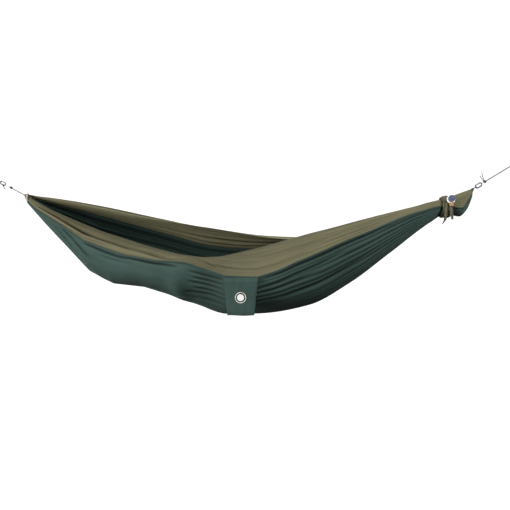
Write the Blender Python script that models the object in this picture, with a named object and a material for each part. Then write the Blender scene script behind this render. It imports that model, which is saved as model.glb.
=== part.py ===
"""Gathered-end camping hammock on two ropes. Metres, +Z up, X along the hammock, Y away from the front.
The origin is the bearing point of the left eye plate, where the left rope hangs."""

import math

import bmesh
import bpy
import numpy as np
from mathutils import Vector

for old in list(bpy.data.objects):
    bpy.data.objects.remove(old, do_unlink=True)

# Hanging points and gathered ends
LEFT_ANCHOR = (0.0, 0.0, 0.0)
RIGHT_ANCHOR = (3.12, 0.0, 0.098)
LEFT_TIP = (0.189, 0.0, -0.104)
RIGHT_TIP = (2.857, 0.0, -0.062)
CLOTH_LEFT = 0.216
CLOTH_RIGHT = 2.836

# Lines sewn into the cloth, as (x, y, z) stations from the left end to the right end
FAR_HEM = (
    (0.20, 0.008, -0.098), (0.50, 0.060, -0.144), (0.90, 0.110, -0.226), (1.30, 0.135, -0.297),
    (1.70, 0.140, -0.360), (1.90, 0.130, -0.368), (2.10, 0.115, -0.316), (2.50, 0.065, -0.184),
    (2.69, 0.026, -0.124), (2.77, 0.025, -0.098), (2.85, 0.010, -0.066),
)
FAR_SEAM = (
    (0.20, 0.017, -0.119), (0.36, 0.120, -0.160), (0.66, 0.250, -0.252), (1.00, 0.350, -0.330),
    (1.29, 0.390, -0.423), (1.50, 0.400, -0.436), (1.85, 0.380, -0.416), (2.10, 0.330, -0.357),
    (2.50, 0.175, -0.225), (2.69, 0.044, -0.168), (2.77, 0.055, -0.160), (2.85, 0.013, -0.084),
)
KEEL = (
    (0.20, 0.0, -0.146), (0.32, -0.010, -0.278), (0.46, -0.020, -0.424), (0.58, -0.028, -0.550),
    (0.72, -0.034, -0.622), (0.90, -0.036, -0.642), (1.17, -0.036, -0.730), (1.40, -0.036, -0.806),
    (1.60, -0.036, -0.800), (1.88, -0.034, -0.750), (2.12, -0.030, -0.620), (2.36, -0.020, -0.441),
    (2.60, -0.008, -0.262), (2.69, 0.0, -0.215), (2.77, 0.0, -0.229), (2.815, 0.0, -0.188),
    (2.85, 0.0, -0.104),
)
NEAR_SEAM = (
    (0.20, -0.013, -0.126), (0.25, -0.034, -0.174), (0.41, -0.110, -0.272), (0.57, -0.170, -0.368),
    (0.82, -0.260, -0.450), (1.00, -0.305, -0.477), (1.17, -0.340, -0.486), (1.39, -0.370, -0.560),
    (1.57, -0.370, -0.564), (1.80, -0.350, -0.479), (2.14, -0.280, -0.338), (2.50, -0.160, -0.206),
    (2.69, -0.044, -0.170), (2.77, -0.052, -0.180), (2.815, -0.030, -0.134), (2.85, -0.011, -0.086),
)
NEAR_HEM = (
    (0.20, -0.004, -0.108), (0.33, -0.010, -0.181), (0.66, -0.020, -0.320), (1.00, -0.030, -0.426),
    (1.20, -0.030, -0.483), (1.30, -0.030, -0.474), (1.55, -0.030, -0.422), (1.94, -0.030, -0.315),
    (2.42, -0.020, -0.190), (2.69, -0.012, -0.119), (2.77, -0.010, -0.092), (2.85, -0.004, -0.063),
)

# Cloth and sewing
CLOTH_THICK = 0.0024
BEAD_RADIUS = 0.0025
EDGE_CLEAR = 0.0042
LENGTH_STEPS = 48
SIDE_STEPS = 5
CENTRE_STEPS = 16
GAP = 0.0004

# Carabiners
RIGHT_HOOK = dict(length=0.048, width=0.027, rod=0.0034)
LEFT_HOOK = dict(length=0.040, width=0.022, rod=0.0026)

GATE_CLEAR = 0.0018

# Ropes
RIGHT_ROPE = 0.0030
LEFT_ROPE = 0.0045
LEFT_CORD = 0.0023
THIN_LOOP = 0.0015
ANCHOR_LOOP = 0.0024
TAIL = 0.0020

# Eye plates
PLATE = (0.006, 0.050, 0.090)
EYE_RADIUS = 0.021
EYE_ROD = 0.0035
PLATE_BACK = 0.048
SCREW_SPACING = 0.062
SCREW_RADIUS = 0.005

# Pocket
POCKET_X = (1.385, 1.573)
POCKET_TAPER = 0.021
POCKET_TOP = -0.568
POCKET_DROP = 0.204
POCKET_DEPTH = 0.016
POCKET_WALL = 0.0018
POCKET_Y = -0.3795
BADGE_RADIUS = 0.030


def material(name, colour, rough=0.8, metal=0.0):
    made = bpy.data.materials.new(name)
    made.use_nodes = True
    shader = made.node_tree.nodes["Principled BSDF"]
    shader.inputs["Base Color"].default_value = (*colour, 1.0)
    shader.inputs["Roughness"].default_value = rough
    shader.inputs["Metallic"].default_value = metal
    return made


KHAKI = (0.13, 0.12, 0.075)
GREEN = (0.018, 0.035, 0.030)
STEEL = (0.10, 0.12, 0.13)
DARK = (0.03, 0.03, 0.03)
PALE = (0.35, 0.35, 0.34)
ROPE_GREY = (0.08, 0.08, 0.08)


def add_mesh(name, points, faces, colour, smooth=True, rough=0.8, metal=0.0):
    data = bpy.data.meshes.new(name)
    data.from_pydata([tuple(p) for p in points], [], faces)
    shape = bmesh.new()
    shape.from_mesh(data)
    bmesh.ops.recalc_face_normals(shape, faces=shape.faces)
    shape.to_mesh(data)
    shape.free()
    data.update()
    data.polygons.foreach_set("use_smooth", [smooth] * len(data.polygons))
    made = bpy.data.objects.new(name, data)
    bpy.context.scene.collection.objects.link(made)
    data.materials.append(material(name + "_surface", colour, rough, metal))
    return made


def put_origin(made, point):
    """Moves an object's origin to a point without moving its shape."""
    shift = Vector(point) - made.location
    for vertex in made.data.vertices:
        vertex.co -= shift
    made.location = Vector(point)


def tube(name, points, radius, colour, closed=False, sides=2, rough=0.8, metal=0.0):
    """A round tube of one radius along hand-placed points."""
    data = bpy.data.curves.new(name, "CURVE")
    data.dimensions = "3D"
    data.bevel_depth = radius
    data.bevel_resolution = sides
    data.use_fill_caps = not closed
    spline = data.splines.new("POLY")
    spline.points.add(len(points) - 1)
    for place, point in zip(spline.points, points):
        place.co = (*point, 1.0)
    spline.use_cyclic_u = closed
    spline.use_smooth = True
    made = bpy.data.objects.new(name, data)
    bpy.context.scene.collection.objects.link(made)
    data.materials.append(material(name + "_surface", colour, rough, metal))
    return made


def stacked(name, rings, colour, rough=0.8, metal=0.0, smooth=True):
    """A closed solid skinned over equal rings of points, with a flat cap at each end."""
    count = len(rings[0])
    points = [p for ring in rings for p in ring]
    faces = [tuple(range(count))[::-1]]
    for i in range(len(rings) - 1):
        for j in range(count):
            k = (j + 1) % count
            faces.append((i * count + j, i * count + k, (i + 1) * count + k, (i + 1) * count + j))
    faces.append(tuple(range((len(rings) - 1) * count, len(rings) * count)))
    return add_mesh(name, points, faces, colour, smooth, rough, metal)


def smooth_line(stations, x):
    """(y, z) of a sewn line at x, by a cubic that never overshoots its stations."""
    rows = np.array(stations)
    gaps = np.diff(rows[:, 0])
    slopes = np.diff(rows[:, 1:], axis=0) / gaps[:, None]
    tangents = np.vstack([slopes[:1], np.zeros((len(rows) - 2, 2)), slopes[-1:]])
    product = slopes[:-1] * slopes[1:]
    total = np.where(product > 0, slopes[:-1] + slopes[1:], 1.0)
    tangents[1:-1] = np.where(product > 0, 2 * product / total, 0.0)
    i = int(np.clip(np.searchsorted(rows[:, 0], x) - 1, 0, len(gaps) - 1))
    t = (x - rows[i, 0]) / gaps[i]
    rise = rows[i + 1, 1:] - rows[i, 1:]
    ease = t * t * (3 - 2 * t)
    bend = gaps[i] * (t * (1 - t) ** 2 * tangents[i] - t * t * (1 - t) * tangents[i + 1])
    return rows[i, 1:] + ease * rise + bend


def steepness(stations, x):
    """How much longer a sewn line is than its run along X, near x."""
    rise = smooth_line(stations, x + 0.004) - smooth_line(stations, x - 0.004)
    return math.hypot(1.0, *(rise / 0.008))


def belly(seam, keel, steps):
    """Quarter ellipse in the YZ plane from a seam down to the keel."""
    turns = np.linspace(0, math.pi / 2, steps + 1)
    return np.column_stack([
        keel[0] + (seam[0] - keel[0]) * np.cos(turns),
        seam[1] + (keel[1] - seam[1]) * np.sin(turns),
    ])


def trimmed(section, steps, ends):
    """The section resampled evenly, stopping clear of the bead at each end."""
    lengths = np.concatenate([[0], np.cumsum(np.linalg.norm(np.diff(section, axis=0), axis=1))])
    wanted = np.linspace(EDGE_CLEAR * ends[0], lengths[-1] - EDGE_CLEAR * ends[1], steps + 1)
    return np.column_stack([np.interp(wanted, lengths, section[:, k]) for k in (0, 1)])


def centre_section(x):
    near = smooth_line(NEAR_SEAM, x)
    keel = smooth_line(KEEL, x)
    far = smooth_line(FAR_SEAM, x)
    front = belly(near, keel, 40)
    back = belly(far, keel, 40)[::-1]
    return np.vstack([front, back[1:]])


def side_section(hem, seam, x):
    """A nearly flat strip with a slight outward belly."""
    top = smooth_line(hem, x)
    bottom = smooth_line(seam, x)
    t = np.linspace(0, 1, 21)[:, None]
    across = bottom - top
    outward = np.array([across[1], -across[0]])
    outward *= -1 if outward[0] * bottom[0] < 0 else 1
    return top + across * t + outward * 0.10 * np.sin(math.pi * t)


def stations_along():
    """Even steps along the cloth, packed closer towards both gathered ends."""
    even = np.linspace(0, 1, LENGTH_STEPS + 1)
    packed = even - 0.10 * np.sin(2 * math.pi * even)
    return CLOTH_LEFT + (CLOTH_RIGHT - CLOTH_LEFT) * packed


def panel(name, section_at, edges, steps, colour):
    points = []
    for x in stations_along():
        ends = [steepness(line, x) for line in edges]
        points += [(x, y, z) for y, z in trimmed(section_at(x), steps, ends)]
    wide = steps + 1
    faces = [
        (i * wide + j, i * wide + j + 1, (i + 1) * wide + j + 1, (i + 1) * wide + j)
        for i in range(LENGTH_STEPS)
        for j in range(steps)
    ]
    made = add_mesh(name, points, faces, colour)
    thick = made.modifiers.new("cloth", "SOLIDIFY")
    thick.thickness = CLOTH_THICK
    thick.offset = 0.0
    return made


def sewn_line(name, stations, colour):
    points = [(x, *smooth_line(stations, x)) for x in stations_along()]
    return tube(name, points, BEAD_RADIUS, colour)


def side_panel(name, hem, seam):
    return panel(name, lambda x: side_section(hem, seam, x), (hem, seam), SIDE_STEPS, KHAKI)


panel("centre_panel", centre_section, (NEAR_SEAM, FAR_SEAM), CENTRE_STEPS, GREEN)
side_panel("near_side_panel", NEAR_HEM, NEAR_SEAM)
side_panel("far_side_panel", FAR_HEM, FAR_SEAM)
sewn_line("near_seam", NEAR_SEAM, GREEN)
sewn_line("far_seam", FAR_SEAM, GREEN)
sewn_line("near_hem", NEAR_HEM, KHAKI)
sewn_line("far_hem", FAR_HEM, KHAKI)


def oval(x, middle, half_wide, half_tall, count=24):
    turns = np.linspace(0, 2 * math.pi, count, endpoint=False)
    return [(x, half_wide * math.cos(a), middle + half_tall * math.sin(a)) for a in turns]


def oval_band(name, x, length, middle, hole, wall, colour, waves=0, ripple=0.0, slope=0.0):
    """A band round the gathered cloth: an oval ring, pleated when it has waves."""
    count = 48
    rings = []
    profile = ((0, 0.0), (0, 1.0), (1, 1.0), (1, 0.0))
    for i in range(count):
        a = 2 * math.pi * i / count
        grow = wall + ripple * math.cos(waves * a)
        ring = []
        for end, out in profile:
            wide = hole[0] + out * grow
            tall = hole[1] + out * grow
            along_band = (end - 0.5) * length
            height = middle + slope * along_band + tall * math.sin(a)
            ring.append((x + along_band, wide * math.cos(a), height))
        rings.append(ring)
    points = [p for ring in rings for p in ring]
    faces = []
    for i in range(count):
        n = (i + 1) % count
        for j in range(4):
            k = (j + 1) % 4
            faces.append((i * 4 + j, i * 4 + k, n * 4 + k, n * 4 + j))
    return add_mesh(name, points, faces, colour)


# Left gathered end: the bunched channel, its whipping, the thin cord and its knot
stacked("left_end_channel", [
    oval(0.1865, -0.1030, 0.0045, 0.0050),
    oval(0.1940, -0.1110, 0.0120, 0.0140),
    oval(0.2010, -0.1200, 0.0180, 0.0235),
    oval(0.2110, -0.1215, 0.0190, 0.0250),
], KHAKI)
oval_band("left_whipping", 0.2060, 0.0060, -0.1215, (0.0200, 0.0262), 0.0025, (0.45, 0.47, 0.40))
# Right gathered end
stacked("right_end_channel", [
    oval(2.8412, -0.0810, 0.0130, 0.0200),
    oval(2.8480, -0.0740, 0.0110, 0.0150),
    oval(2.8550, -0.0640, 0.0055, 0.0060),
], GREEN)


def along(start, end):
    """Unit vectors along a chain and square to it, in the XZ plane."""
    run = (Vector(end) - Vector(start)).normalized()
    return run, Vector((-run.z, 0.0, run.x))


def placed(start, axes, s, up=0.0, side=0.0):
    run, rise = axes
    return Vector(start) + run * s + rise * up + Vector((0, side, 0))


LEFT_AXES = along(LEFT_ANCHOR, LEFT_TIP)
RIGHT_AXES = along(RIGHT_TIP, RIGHT_ANCHOR)


def carabiner(side, start, axes, s, length, width, rod):
    """A D-shaped snap hook: one bent rod, and a straight gate on its upper side that swings inwards."""
    half = width / 2 - rod
    run = length - 2 * rod - 2 * half
    middle = s + length / 2
    path = []
    for i in range(9):
        a = math.radians(90 + 180 * i / 8)
        path.append((middle - run / 2 + half * math.cos(a), half * math.sin(a)))
    for i in range(9):
        a = math.radians(-90 + 180 * i / 8)
        path.append((middle + run / 2 + half * math.cos(a), half * math.sin(a)))
    body = [placed(start, axes, a, b) for a, b in path]
    tube(side + "_hook", body, rod, STEEL, sides=3, rough=0.35, metal=1.0)
    gate_rod = rod * 0.8
    ends = (middle - run / 2 + GATE_CLEAR, middle + run / 2 - GATE_CLEAR / 2)
    gate = tube(
        side + "_hook_gate",
        [placed(start, axes, a, half) for a in np.linspace(*ends, 3)],
        gate_rod, STEEL, sides=3, rough=0.35, metal=1.0,
    )
    hinge = placed(start, axes, ends[0] + gate_rod, half)
    for spline in gate.data.splines:
        for point in spline.points:
            point.co = (*(Vector(point.co[:3]) - hinge), 1.0)
    gate.location = hinge
    return hinge


def eye_loop(name, start, axes, s_far, s_near, half, radius, colour, rough=0.8, steps=10):
    """A drop-shaped cord loop: round at s_far, its two legs closing towards s_near."""
    sign = 1 if s_near > s_far else -1
    centre = s_far + sign * half
    points = []
    for i in range(steps + 1):
        a = math.pi * (0.5 + i / steps)
        points.append((centre + sign * half * math.cos(a), half * math.sin(a)))
    close = radius + GAP
    legs = [(s_near, close), *points, (s_near, -close)]
    route = [placed(start, axes, s, 0.0, side) for s, side in legs]
    return tube(name, route, radius, colour, rough=rough)


def knot(name, start, axes, s, size, colour, up=0.0):
    """A tight knot as a lumpy ball with a groove round it."""
    rings = []
    for i in range(1, 10):
        a = math.pi * i / 10
        ring = []
        for j in range(16):
            b = 2 * math.pi * j / 16
            swell = 1 + 0.10 * math.cos(2 * b + 5 * a)
            r = size[1] * math.sin(a) ** 0.7 * swell
            point = placed(start, axes, s - size[0] * math.cos(a), up + r * math.sin(b), r * math.cos(b))
            ring.append(point)
        rings.append(ring)
    return stacked(name, rings, colour)


LEFT_HINGE = carabiner("left", LEFT_ANCHOR, LEFT_AXES, 0.048, **LEFT_HOOK)
RIGHT_HINGE = carabiner("right", RIGHT_TIP, RIGHT_AXES, 0.008, **RIGHT_HOOK)

# Left chain, from the eye plate down to the gathered end
tube("left_rope", [placed(LEFT_ANCHOR, LEFT_AXES, s) for s in (0.0215, 0.0290, 0.0365)], LEFT_ROPE, PALE)
eye_loop("left_anchor_loop", LEFT_ANCHOR, LEFT_AXES, -0.0170, 0.0205, 0.0140, ANCHOR_LOOP, PALE)
eye_loop("left_hook_loop", LEFT_ANCHOR, LEFT_AXES, 0.0580, 0.0375, 0.0062, 0.0022, PALE)
eye_loop("left_link", LEFT_ANCHOR, LEFT_AXES, 0.0795, 0.1136, 0.0050, THIN_LOOP, (0.6, 0.6, 0.58))
knot("left_knot", LEFT_ANCHOR, LEFT_AXES, 0.1225, (0.0088, 0.0062), DARK)
tube("left_cord", [placed(LEFT_ANCHOR, LEFT_AXES, s) for s in np.linspace(0.1318, 0.2105, 9)], LEFT_CORD, DARK)

# Right chain, from the gathered end up to the eye plate
eye_loop("right_end_loop", RIGHT_TIP, RIGHT_AXES, 0.0182, 0.0020, 0.0062, 0.0020, GREEN)
eye_loop("right_hook_loop", RIGHT_TIP, RIGHT_AXES, 0.0462, 0.0645, 0.0055, THIN_LOOP, (0.6, 0.6, 0.58))
knot("right_knot", RIGHT_TIP, RIGHT_AXES, 0.0745, (0.0098, 0.0085), DARK)
tube(
    "right_rope",
    [placed(RIGHT_TIP, RIGHT_AXES, s) for s in np.linspace(0.0847, 0.2790, 9)],
    RIGHT_ROPE, ROPE_GREY,
)
reach = (Vector(RIGHT_ANCHOR) - Vector(RIGHT_TIP)).length
eye_loop("right_anchor_loop", RIGHT_TIP, RIGHT_AXES, reach + 0.0170, 0.2798, 0.0140, ANCHOR_LOOP, ROPE_GREY)
tube("right_tail_long", [(2.9146, 0.0, -0.0145), (2.9100, -0.001, -0.0020), (2.9045, -0.003, 0.0140),
     (2.9000, -0.004, 0.0300)], TAIL, DARK)
tube("right_tail_short", [(2.9095, -0.006, -0.0190), (2.9020, -0.010, -0.0100), (2.8930, -0.014, 0.0010),
     (2.8860, -0.016, 0.0095)], TAIL, DARK)
tube("left_tail", [(0.0640, -0.010, -0.0480), (0.0680, -0.011, -0.0550), (0.0770, -0.011, -0.0665)], TAIL, DARK)


def eye_plate(side, anchor, facing):
    """A screwed wall plate with a welded half-ring that the rope hangs in. Facing is +1 when it looks along +X."""
    back = anchor[0] - facing * PLATE_BACK
    front = back + facing * PLATE[0]
    middle = (back + front) / 2
    bpy.ops.mesh.primitive_cube_add(size=1, location=(middle, 0.0, anchor[2]))
    plate = bpy.context.object
    plate.name = side + "_eye_plate"
    plate.data.name = plate.name
    plate.scale = PLATE
    bpy.ops.object.transform_apply(location=False, rotation=False, scale=True)
    plate.data.materials.append(material(plate.name + "_surface", STEEL, 0.4, 1.0))
    helpers = []
    for up in (-1, 1):
        bpy.ops.mesh.primitive_cylinder_add(
            vertices=32, radius=SCREW_RADIUS * 0.55 + GAP, depth=0.03,
            location=(middle, 0.0, anchor[2] + up * SCREW_SPACING / 2), rotation=(0, math.pi / 2, 0),
        )
        helpers.append(("DIFFERENCE", bpy.context.object))
    bent = []
    for i in range(17):
        a = math.radians(-90 + 180 * i / 16)
        bent.append((
            anchor[0] - facing * EYE_RADIUS + facing * EYE_RADIUS * math.cos(a), 0.0,
            anchor[2] + EYE_RADIUS * math.sin(a),
        ))
    inside = middle
    route = [(inside, 0.0, bent[0][2]), *bent, (inside, 0.0, bent[-1][2])]
    ring = tube(side + "_eye_cutter", route, EYE_ROD, STEEL, sides=3)
    bpy.context.view_layer.update()
    mesh = bpy.data.meshes.new_from_object(ring.evaluated_get(bpy.context.evaluated_depsgraph_get()))
    bpy.data.objects.remove(ring, do_unlink=True)
    solid_ring = bpy.data.objects.new(side + "_eye_helper", mesh)
    bpy.context.scene.collection.objects.link(solid_ring)
    weld = solid_ring.modifiers.new("caps", "WELD")
    weld.merge_threshold = 0.00001
    helpers.append(("UNION", solid_ring))
    for kind, helper in helpers:
        helper.hide_render = True
        helper.display_type = "WIRE"
        cut = plate.modifiers.new(kind.lower(), "BOOLEAN")
        cut.operation = kind
        cut.object = helper
        cut.solver = "EXACT"
    for up, word in ((1, "upper"), (-1, "lower")):
        height = anchor[2] + up * SCREW_SPACING / 2
        rings = []
        shape = (
            (GAP, 0.55), (PLATE[0] + GAP, 0.55), (PLATE[0] + GAP, 1.0),
            (PLATE[0] + 0.0025, 1.0), (PLATE[0] + 0.0038, 0.7),
        )
        for out, wide in shape:
            turns = [2 * math.pi * k / 20 for k in range(20)]
            r = SCREW_RADIUS * wide
            rings.append([
                (back + facing * out, r * math.cos(t), height + facing * r * math.sin(t)) for t in turns
            ])
        stacked(f"{side}_plate_screw_{word}", rings, STEEL, 0.35, 1.0)


eye_plate("left", LEFT_ANCHOR, 1)
eye_plate("right", RIGHT_ANCHOR, -1)

# Cloth tie wound round the neck of the right end, its two hanging ends, and the button sewn on it
oval_band("right_wrap", 2.6860, 0.0560, -0.1690, (0.0620, 0.0610), 0.0050, KHAKI, 9, 0.0018, 0.14)


def ribbon(name, stations, thick, colour):
    """A flat tapering strip of cloth that hangs in front of the wrap: (x, y, z, width) stations."""
    rings = []
    for x, y, z, wide in stations:
        half = wide / 2
        rings.append([
            (x - half, y - thick / 2, z), (x - half, y + thick / 2, z),
            (x + half, y + thick / 2, z), (x + half, y - thick / 2, z),
        ])
    return stacked(name, rings, colour)


ribbon("wrap_tail_long", (
    (2.6740, -0.0725, -0.1500, 0.020), (2.6720, -0.0760, -0.1850, 0.024), (2.6700, -0.0770, -0.2200, 0.022),
    (2.6660, -0.0765, -0.2500, 0.016), (2.6500, -0.0760, -0.2740, 0.004),
), 0.003, KHAKI)
ribbon("wrap_tail_short", (
    (2.6990, -0.0720, -0.1600, 0.020), (2.7020, -0.0760, -0.1900, 0.024), (2.7050, -0.0770, -0.2200, 0.018),
    (2.7100, -0.0765, -0.2480, 0.010),
), 0.003, KHAKI)


def disc(name, centre, radius, depth, colour, rough=0.5, dome=0.0):
    """A round disc facing the front, domed when asked."""
    rings = []
    shape = ((0.0, 1.0), (depth * 0.7, 1.0), (depth * 0.9, 0.96), (depth, 0.88), (depth + dome, 0.3))
    for out, wide in shape:
        turns = [2 * math.pi * k / 32 for k in range(32)]
        r = radius * wide
        rings.append([
            (centre[0] + r * math.cos(t), centre[1] - out, centre[2] + r * math.sin(t)) for t in turns
        ])
    return stacked(name, rings, colour, rough)


disc("wrap_button_rim", (2.7020, -0.0792, -0.1290), 0.0250, 0.0030, (0.8, 0.8, 0.78), dome=0.0002)
disc("wrap_button", (2.7070, -0.0826, -0.1250), 0.0200, 0.0030, (0.07, 0.08, 0.16), dome=0.0012)
ribbon("wrap_button_tab", (
    (2.7040, -0.0830, -0.1560, 0.030), (2.7050, -0.0830, -0.1660, 0.034), (2.7060, -0.0830, -0.1760, 0.026),
), 0.003, (0.35, 0.19, 0.09))


def pocket_outline(z, grow, y_back, y_front):
    """Four corners of the pocket at a height, its sides leaning in towards the bottom."""
    share = (POCKET_TOP - z) / POCKET_DROP
    left = POCKET_X[0] + share * POCKET_TAPER + grow
    right = POCKET_X[1] - share * POCKET_TAPER - grow
    return [(left, y_front, z), (right, y_front, z), (right, y_back, z), (left, y_back, z)]


def pocket():
    """An open-topped flat pocket: outer skin, then the inner skin and the rim between them."""
    back = POCKET_Y + BEAD_RADIUS
    front = back - POCKET_DEPTH
    top = POCKET_TOP - 0.0040
    floor = POCKET_TOP - POCKET_DROP
    heights = np.linspace(floor, top, 5)
    outer = [pocket_outline(z, 0.0, back, front) for z in heights]
    inside = np.linspace(floor + POCKET_WALL, top, 5)
    inner = [pocket_outline(z, POCKET_WALL, back - POCKET_WALL, front + POCKET_WALL) for z in inside]
    points = [p for ring in outer for p in ring] + [p for ring in inner for p in ring]
    faces = [(3, 2, 1, 0)]
    for i in range(4):
        for j in range(4):
            k = (j + 1) % 4
            faces.append((i * 4 + j, i * 4 + k, (i + 1) * 4 + k, (i + 1) * 4 + j))
            o = 20
            faces.append((o + i * 4 + k, o + i * 4 + j, o + (i + 1) * 4 + j, o + (i + 1) * 4 + k))
    for j in range(4):
        k = (j + 1) % 4
        faces.append((16 + j, 16 + k, 36 + k, 36 + j))
    faces.append((20, 21, 22, 23))
    made = add_mesh("pocket_bag", points, faces, GREEN, smooth=False)
    put_origin(made, (POCKET_X[0], POCKET_Y, POCKET_TOP))
    return front


POCKET_FRONT = pocket()
POCKET_MIDDLE = sum(POCKET_X) / 2
hinge_edge = tube(
    "pocket_hinge_hem",
    [(x, POCKET_Y, POCKET_TOP) for x in np.linspace(*POCKET_X, 5)], BEAD_RADIUS, GREEN,
)
disc(
    "pocket_badge", (POCKET_MIDDLE - 0.001, POCKET_FRONT - GAP, POCKET_TOP - 0.106),
    BADGE_RADIUS, 0.0014, (0.75, 0.75, 0.72), rough=0.6,
)
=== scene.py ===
# %% [markdown]
# # A camping hammock
# This lesson dresses the plain model of a gathered-end hammock: three panels of thin
# parachute cloth, sewn side by side, gathered at both ends and hung on cord and snap hooks.
# We load the plain model first. Its solids stay where they are, and everything that we
# make rides on one of its moving bodies.
# %% Load the plain model
import math

import bpy
import numpy as np
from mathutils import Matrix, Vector


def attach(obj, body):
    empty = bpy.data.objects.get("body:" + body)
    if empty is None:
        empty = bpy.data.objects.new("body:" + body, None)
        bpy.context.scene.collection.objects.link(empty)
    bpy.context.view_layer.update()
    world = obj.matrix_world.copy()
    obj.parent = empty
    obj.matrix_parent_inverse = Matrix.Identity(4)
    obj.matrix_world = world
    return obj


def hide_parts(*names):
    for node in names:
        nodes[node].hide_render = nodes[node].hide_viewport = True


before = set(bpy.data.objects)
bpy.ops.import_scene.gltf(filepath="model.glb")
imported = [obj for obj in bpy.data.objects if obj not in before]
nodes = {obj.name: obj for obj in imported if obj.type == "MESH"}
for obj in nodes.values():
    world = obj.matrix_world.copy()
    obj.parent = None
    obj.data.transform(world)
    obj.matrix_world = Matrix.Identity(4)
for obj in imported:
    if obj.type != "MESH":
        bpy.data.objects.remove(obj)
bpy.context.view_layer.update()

# %% [markdown]
# ## Camera, light and floor
# A hammock is seen best from one long side, a little above its edges. The camera stands
# four metres away with a normal lens, level with the upper cloth and tipped down slightly.
# Large soft lights suit thin cloth: small ones would draw hard lines across every pleat.
# The strong one stands at the left, so that the pleats on the right keep their shadows, and
# two more stand behind, for whoever walks round to the back.
# %% Camera
scene = bpy.context.scene
EYE = (1.556, -4.22, -0.28)
TIP_DOWN = math.atan(0.04236)
camera_data = bpy.data.cameras.new("studio_camera")
camera_data.lens = 50.0
camera_data.sensor_width = 36.0
camera = bpy.data.objects.new("studio_camera", camera_data)
camera.location = EYE
camera.rotation_euler = (math.pi / 2 - TIP_DOWN, 0.0, 0.0)
scene.collection.objects.link(camera)
scene.camera = camera
print("camera at", EYE)

# %% [markdown]
# The background is white but must not flood the folds with light. The Light Path node tells
# the world who is asking: the camera sees it at full strength, the cloth gets a tenth of it.
# %% White air and soft lights
scene.view_settings.view_transform = "Standard"
scene.view_settings.look = "None"
world = bpy.data.worlds.new("studio_air")
world.use_nodes = True
air = world.node_tree.nodes["Background"]
air.inputs["Color"].default_value = (1.0, 1.0, 1.0, 1.0)
ray = world.node_tree.nodes.new("ShaderNodeLightPath")
seen = world.node_tree.nodes.new("ShaderNodeMapRange")
seen.inputs["To Min"].default_value = 0.09
seen.inputs["To Max"].default_value = 1.0
world.node_tree.links.new(ray.outputs["Is Camera Ray"], seen.inputs["Value"])
world.node_tree.links.new(seen.outputs["Result"], air.inputs["Strength"])
scene.world = world


def soft_light(name, place, aim, size, power):
    lamp = bpy.data.lights.new(name, "AREA")
    lamp.shape = "RECTANGLE"
    lamp.size, lamp.size_y = size
    lamp.energy = power
    made = bpy.data.objects.new(name, lamp)
    made.location = place
    made.rotation_euler = (Vector(aim) - Vector(place)).to_track_quat("-Z", "Y").to_euler()
    scene.collection.objects.link(made)
    return made


soft_light("left_key_box", (-3.2, -3.2, 0.6), (1.4, 0.0, -0.5), (2.0, 2.0), 290)
soft_light("right_high_box", (4.4, -2.6, 1.8), (1.4, 0.0, -0.5), (1.6, 1.6), 175)
soft_light("front_fill_box", (0.7, -4.4, 1.5), (1.4, 0.0, -0.4), (2.6, 1.4), 9)
soft_light("left_low_box", (-1.2, -2.6, -1.2), (0.9, -0.1, -0.5), (1.5, 0.8), 42)
soft_light("back_left_box", (-2.8, 3.6, -0.2), (1.4, 0.2, -0.5), (1.8, 1.8), 130)
soft_light("back_right_box", (5.8, 3.6, -0.2), (1.4, 0.2, -0.5), (1.8, 1.8), 130)
soft_light("back_rim_box", (1.5, 2.5, 1.8), (1.4, 0.0, -0.5), (3.0, 1.0), 8)

# %% [markdown]
# The floor is a sheet of white paper that curves up into a wall, as in a studio. It glows a
# little and lights nothing, so it stays white under the dark cloth.
# %% Floor and sweep
FLOOR_Z = -1.55


def build(name, points, faces, smooth=True):
    """A mesh object from points and faces."""
    data = bpy.data.meshes.new(name)
    data.from_pydata([tuple(map(float, p)) for p in points], [], faces)
    data.polygons.foreach_set("use_smooth", [smooth] * len(data.polygons))
    data.update()
    made = bpy.data.objects.new(name, data)
    scene.collection.objects.link(made)
    return made


def sweep():
    """Floor that curves up into a back wall, as a paper roll does."""
    profile = [(-9.0, FLOOR_Z), (3.0, FLOOR_Z)]
    bend = 2.5
    for i in range(1, 17):
        a = math.pi / 2 * i / 16
        profile.append((3.0 + bend * math.sin(a), FLOOR_Z + bend * (1 - math.cos(a))))
    profile.append((3.0 + bend, FLOOR_Z + 9.0))
    points = [(x, y, z) for y, z in profile for x in (-8.0, 11.0)]
    faces = [(2 * i, 2 * i + 1, 2 * i + 3, 2 * i + 2) for i in range(len(profile) - 1)]
    return build("paper_sweep", points, faces)


paper = sweep()
paper_finish = bpy.data.materials.new("white_paper")
paper_finish.use_nodes = True
paper_shader = paper_finish.node_tree.nodes["Principled BSDF"]
paper_shader.inputs["Base Color"].default_value = (0.30, 0.30, 0.30, 1.0)
paper_shader.inputs["Roughness"].default_value = 0.9
paper_shader.inputs["Emission Color"].default_value = (1.0, 1.0, 1.0, 1.0)
paper_shader.inputs["Emission Strength"].default_value = 0.90
paper.data.materials.append(paper_finish)
paper.visible_diffuse = False
paper.visible_glossy = False
print("paper sweep at", FLOOR_Z)

# %% [markdown]
# ## Rope and cord
# The chain from each wall plate to the cloth is a rope sling, a snap hook and a short cord
# that is knotted to the bunched cloth. A curve with a round bevel makes a tube, but the lay
# of a real rope is a relief that winds round it. So we sweep a ring of points along the
# route ourselves, and let the radius rise and fall once for every strand.
# %% Route helpers
LEFT_ANCHOR, RIGHT_ANCHOR = (0.0, 0.0, 0.0), (3.12, 0.0, 0.098)
LEFT_TIP, RIGHT_TIP = (0.189, 0.0, -0.104), (2.857, 0.0, -0.062)


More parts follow.
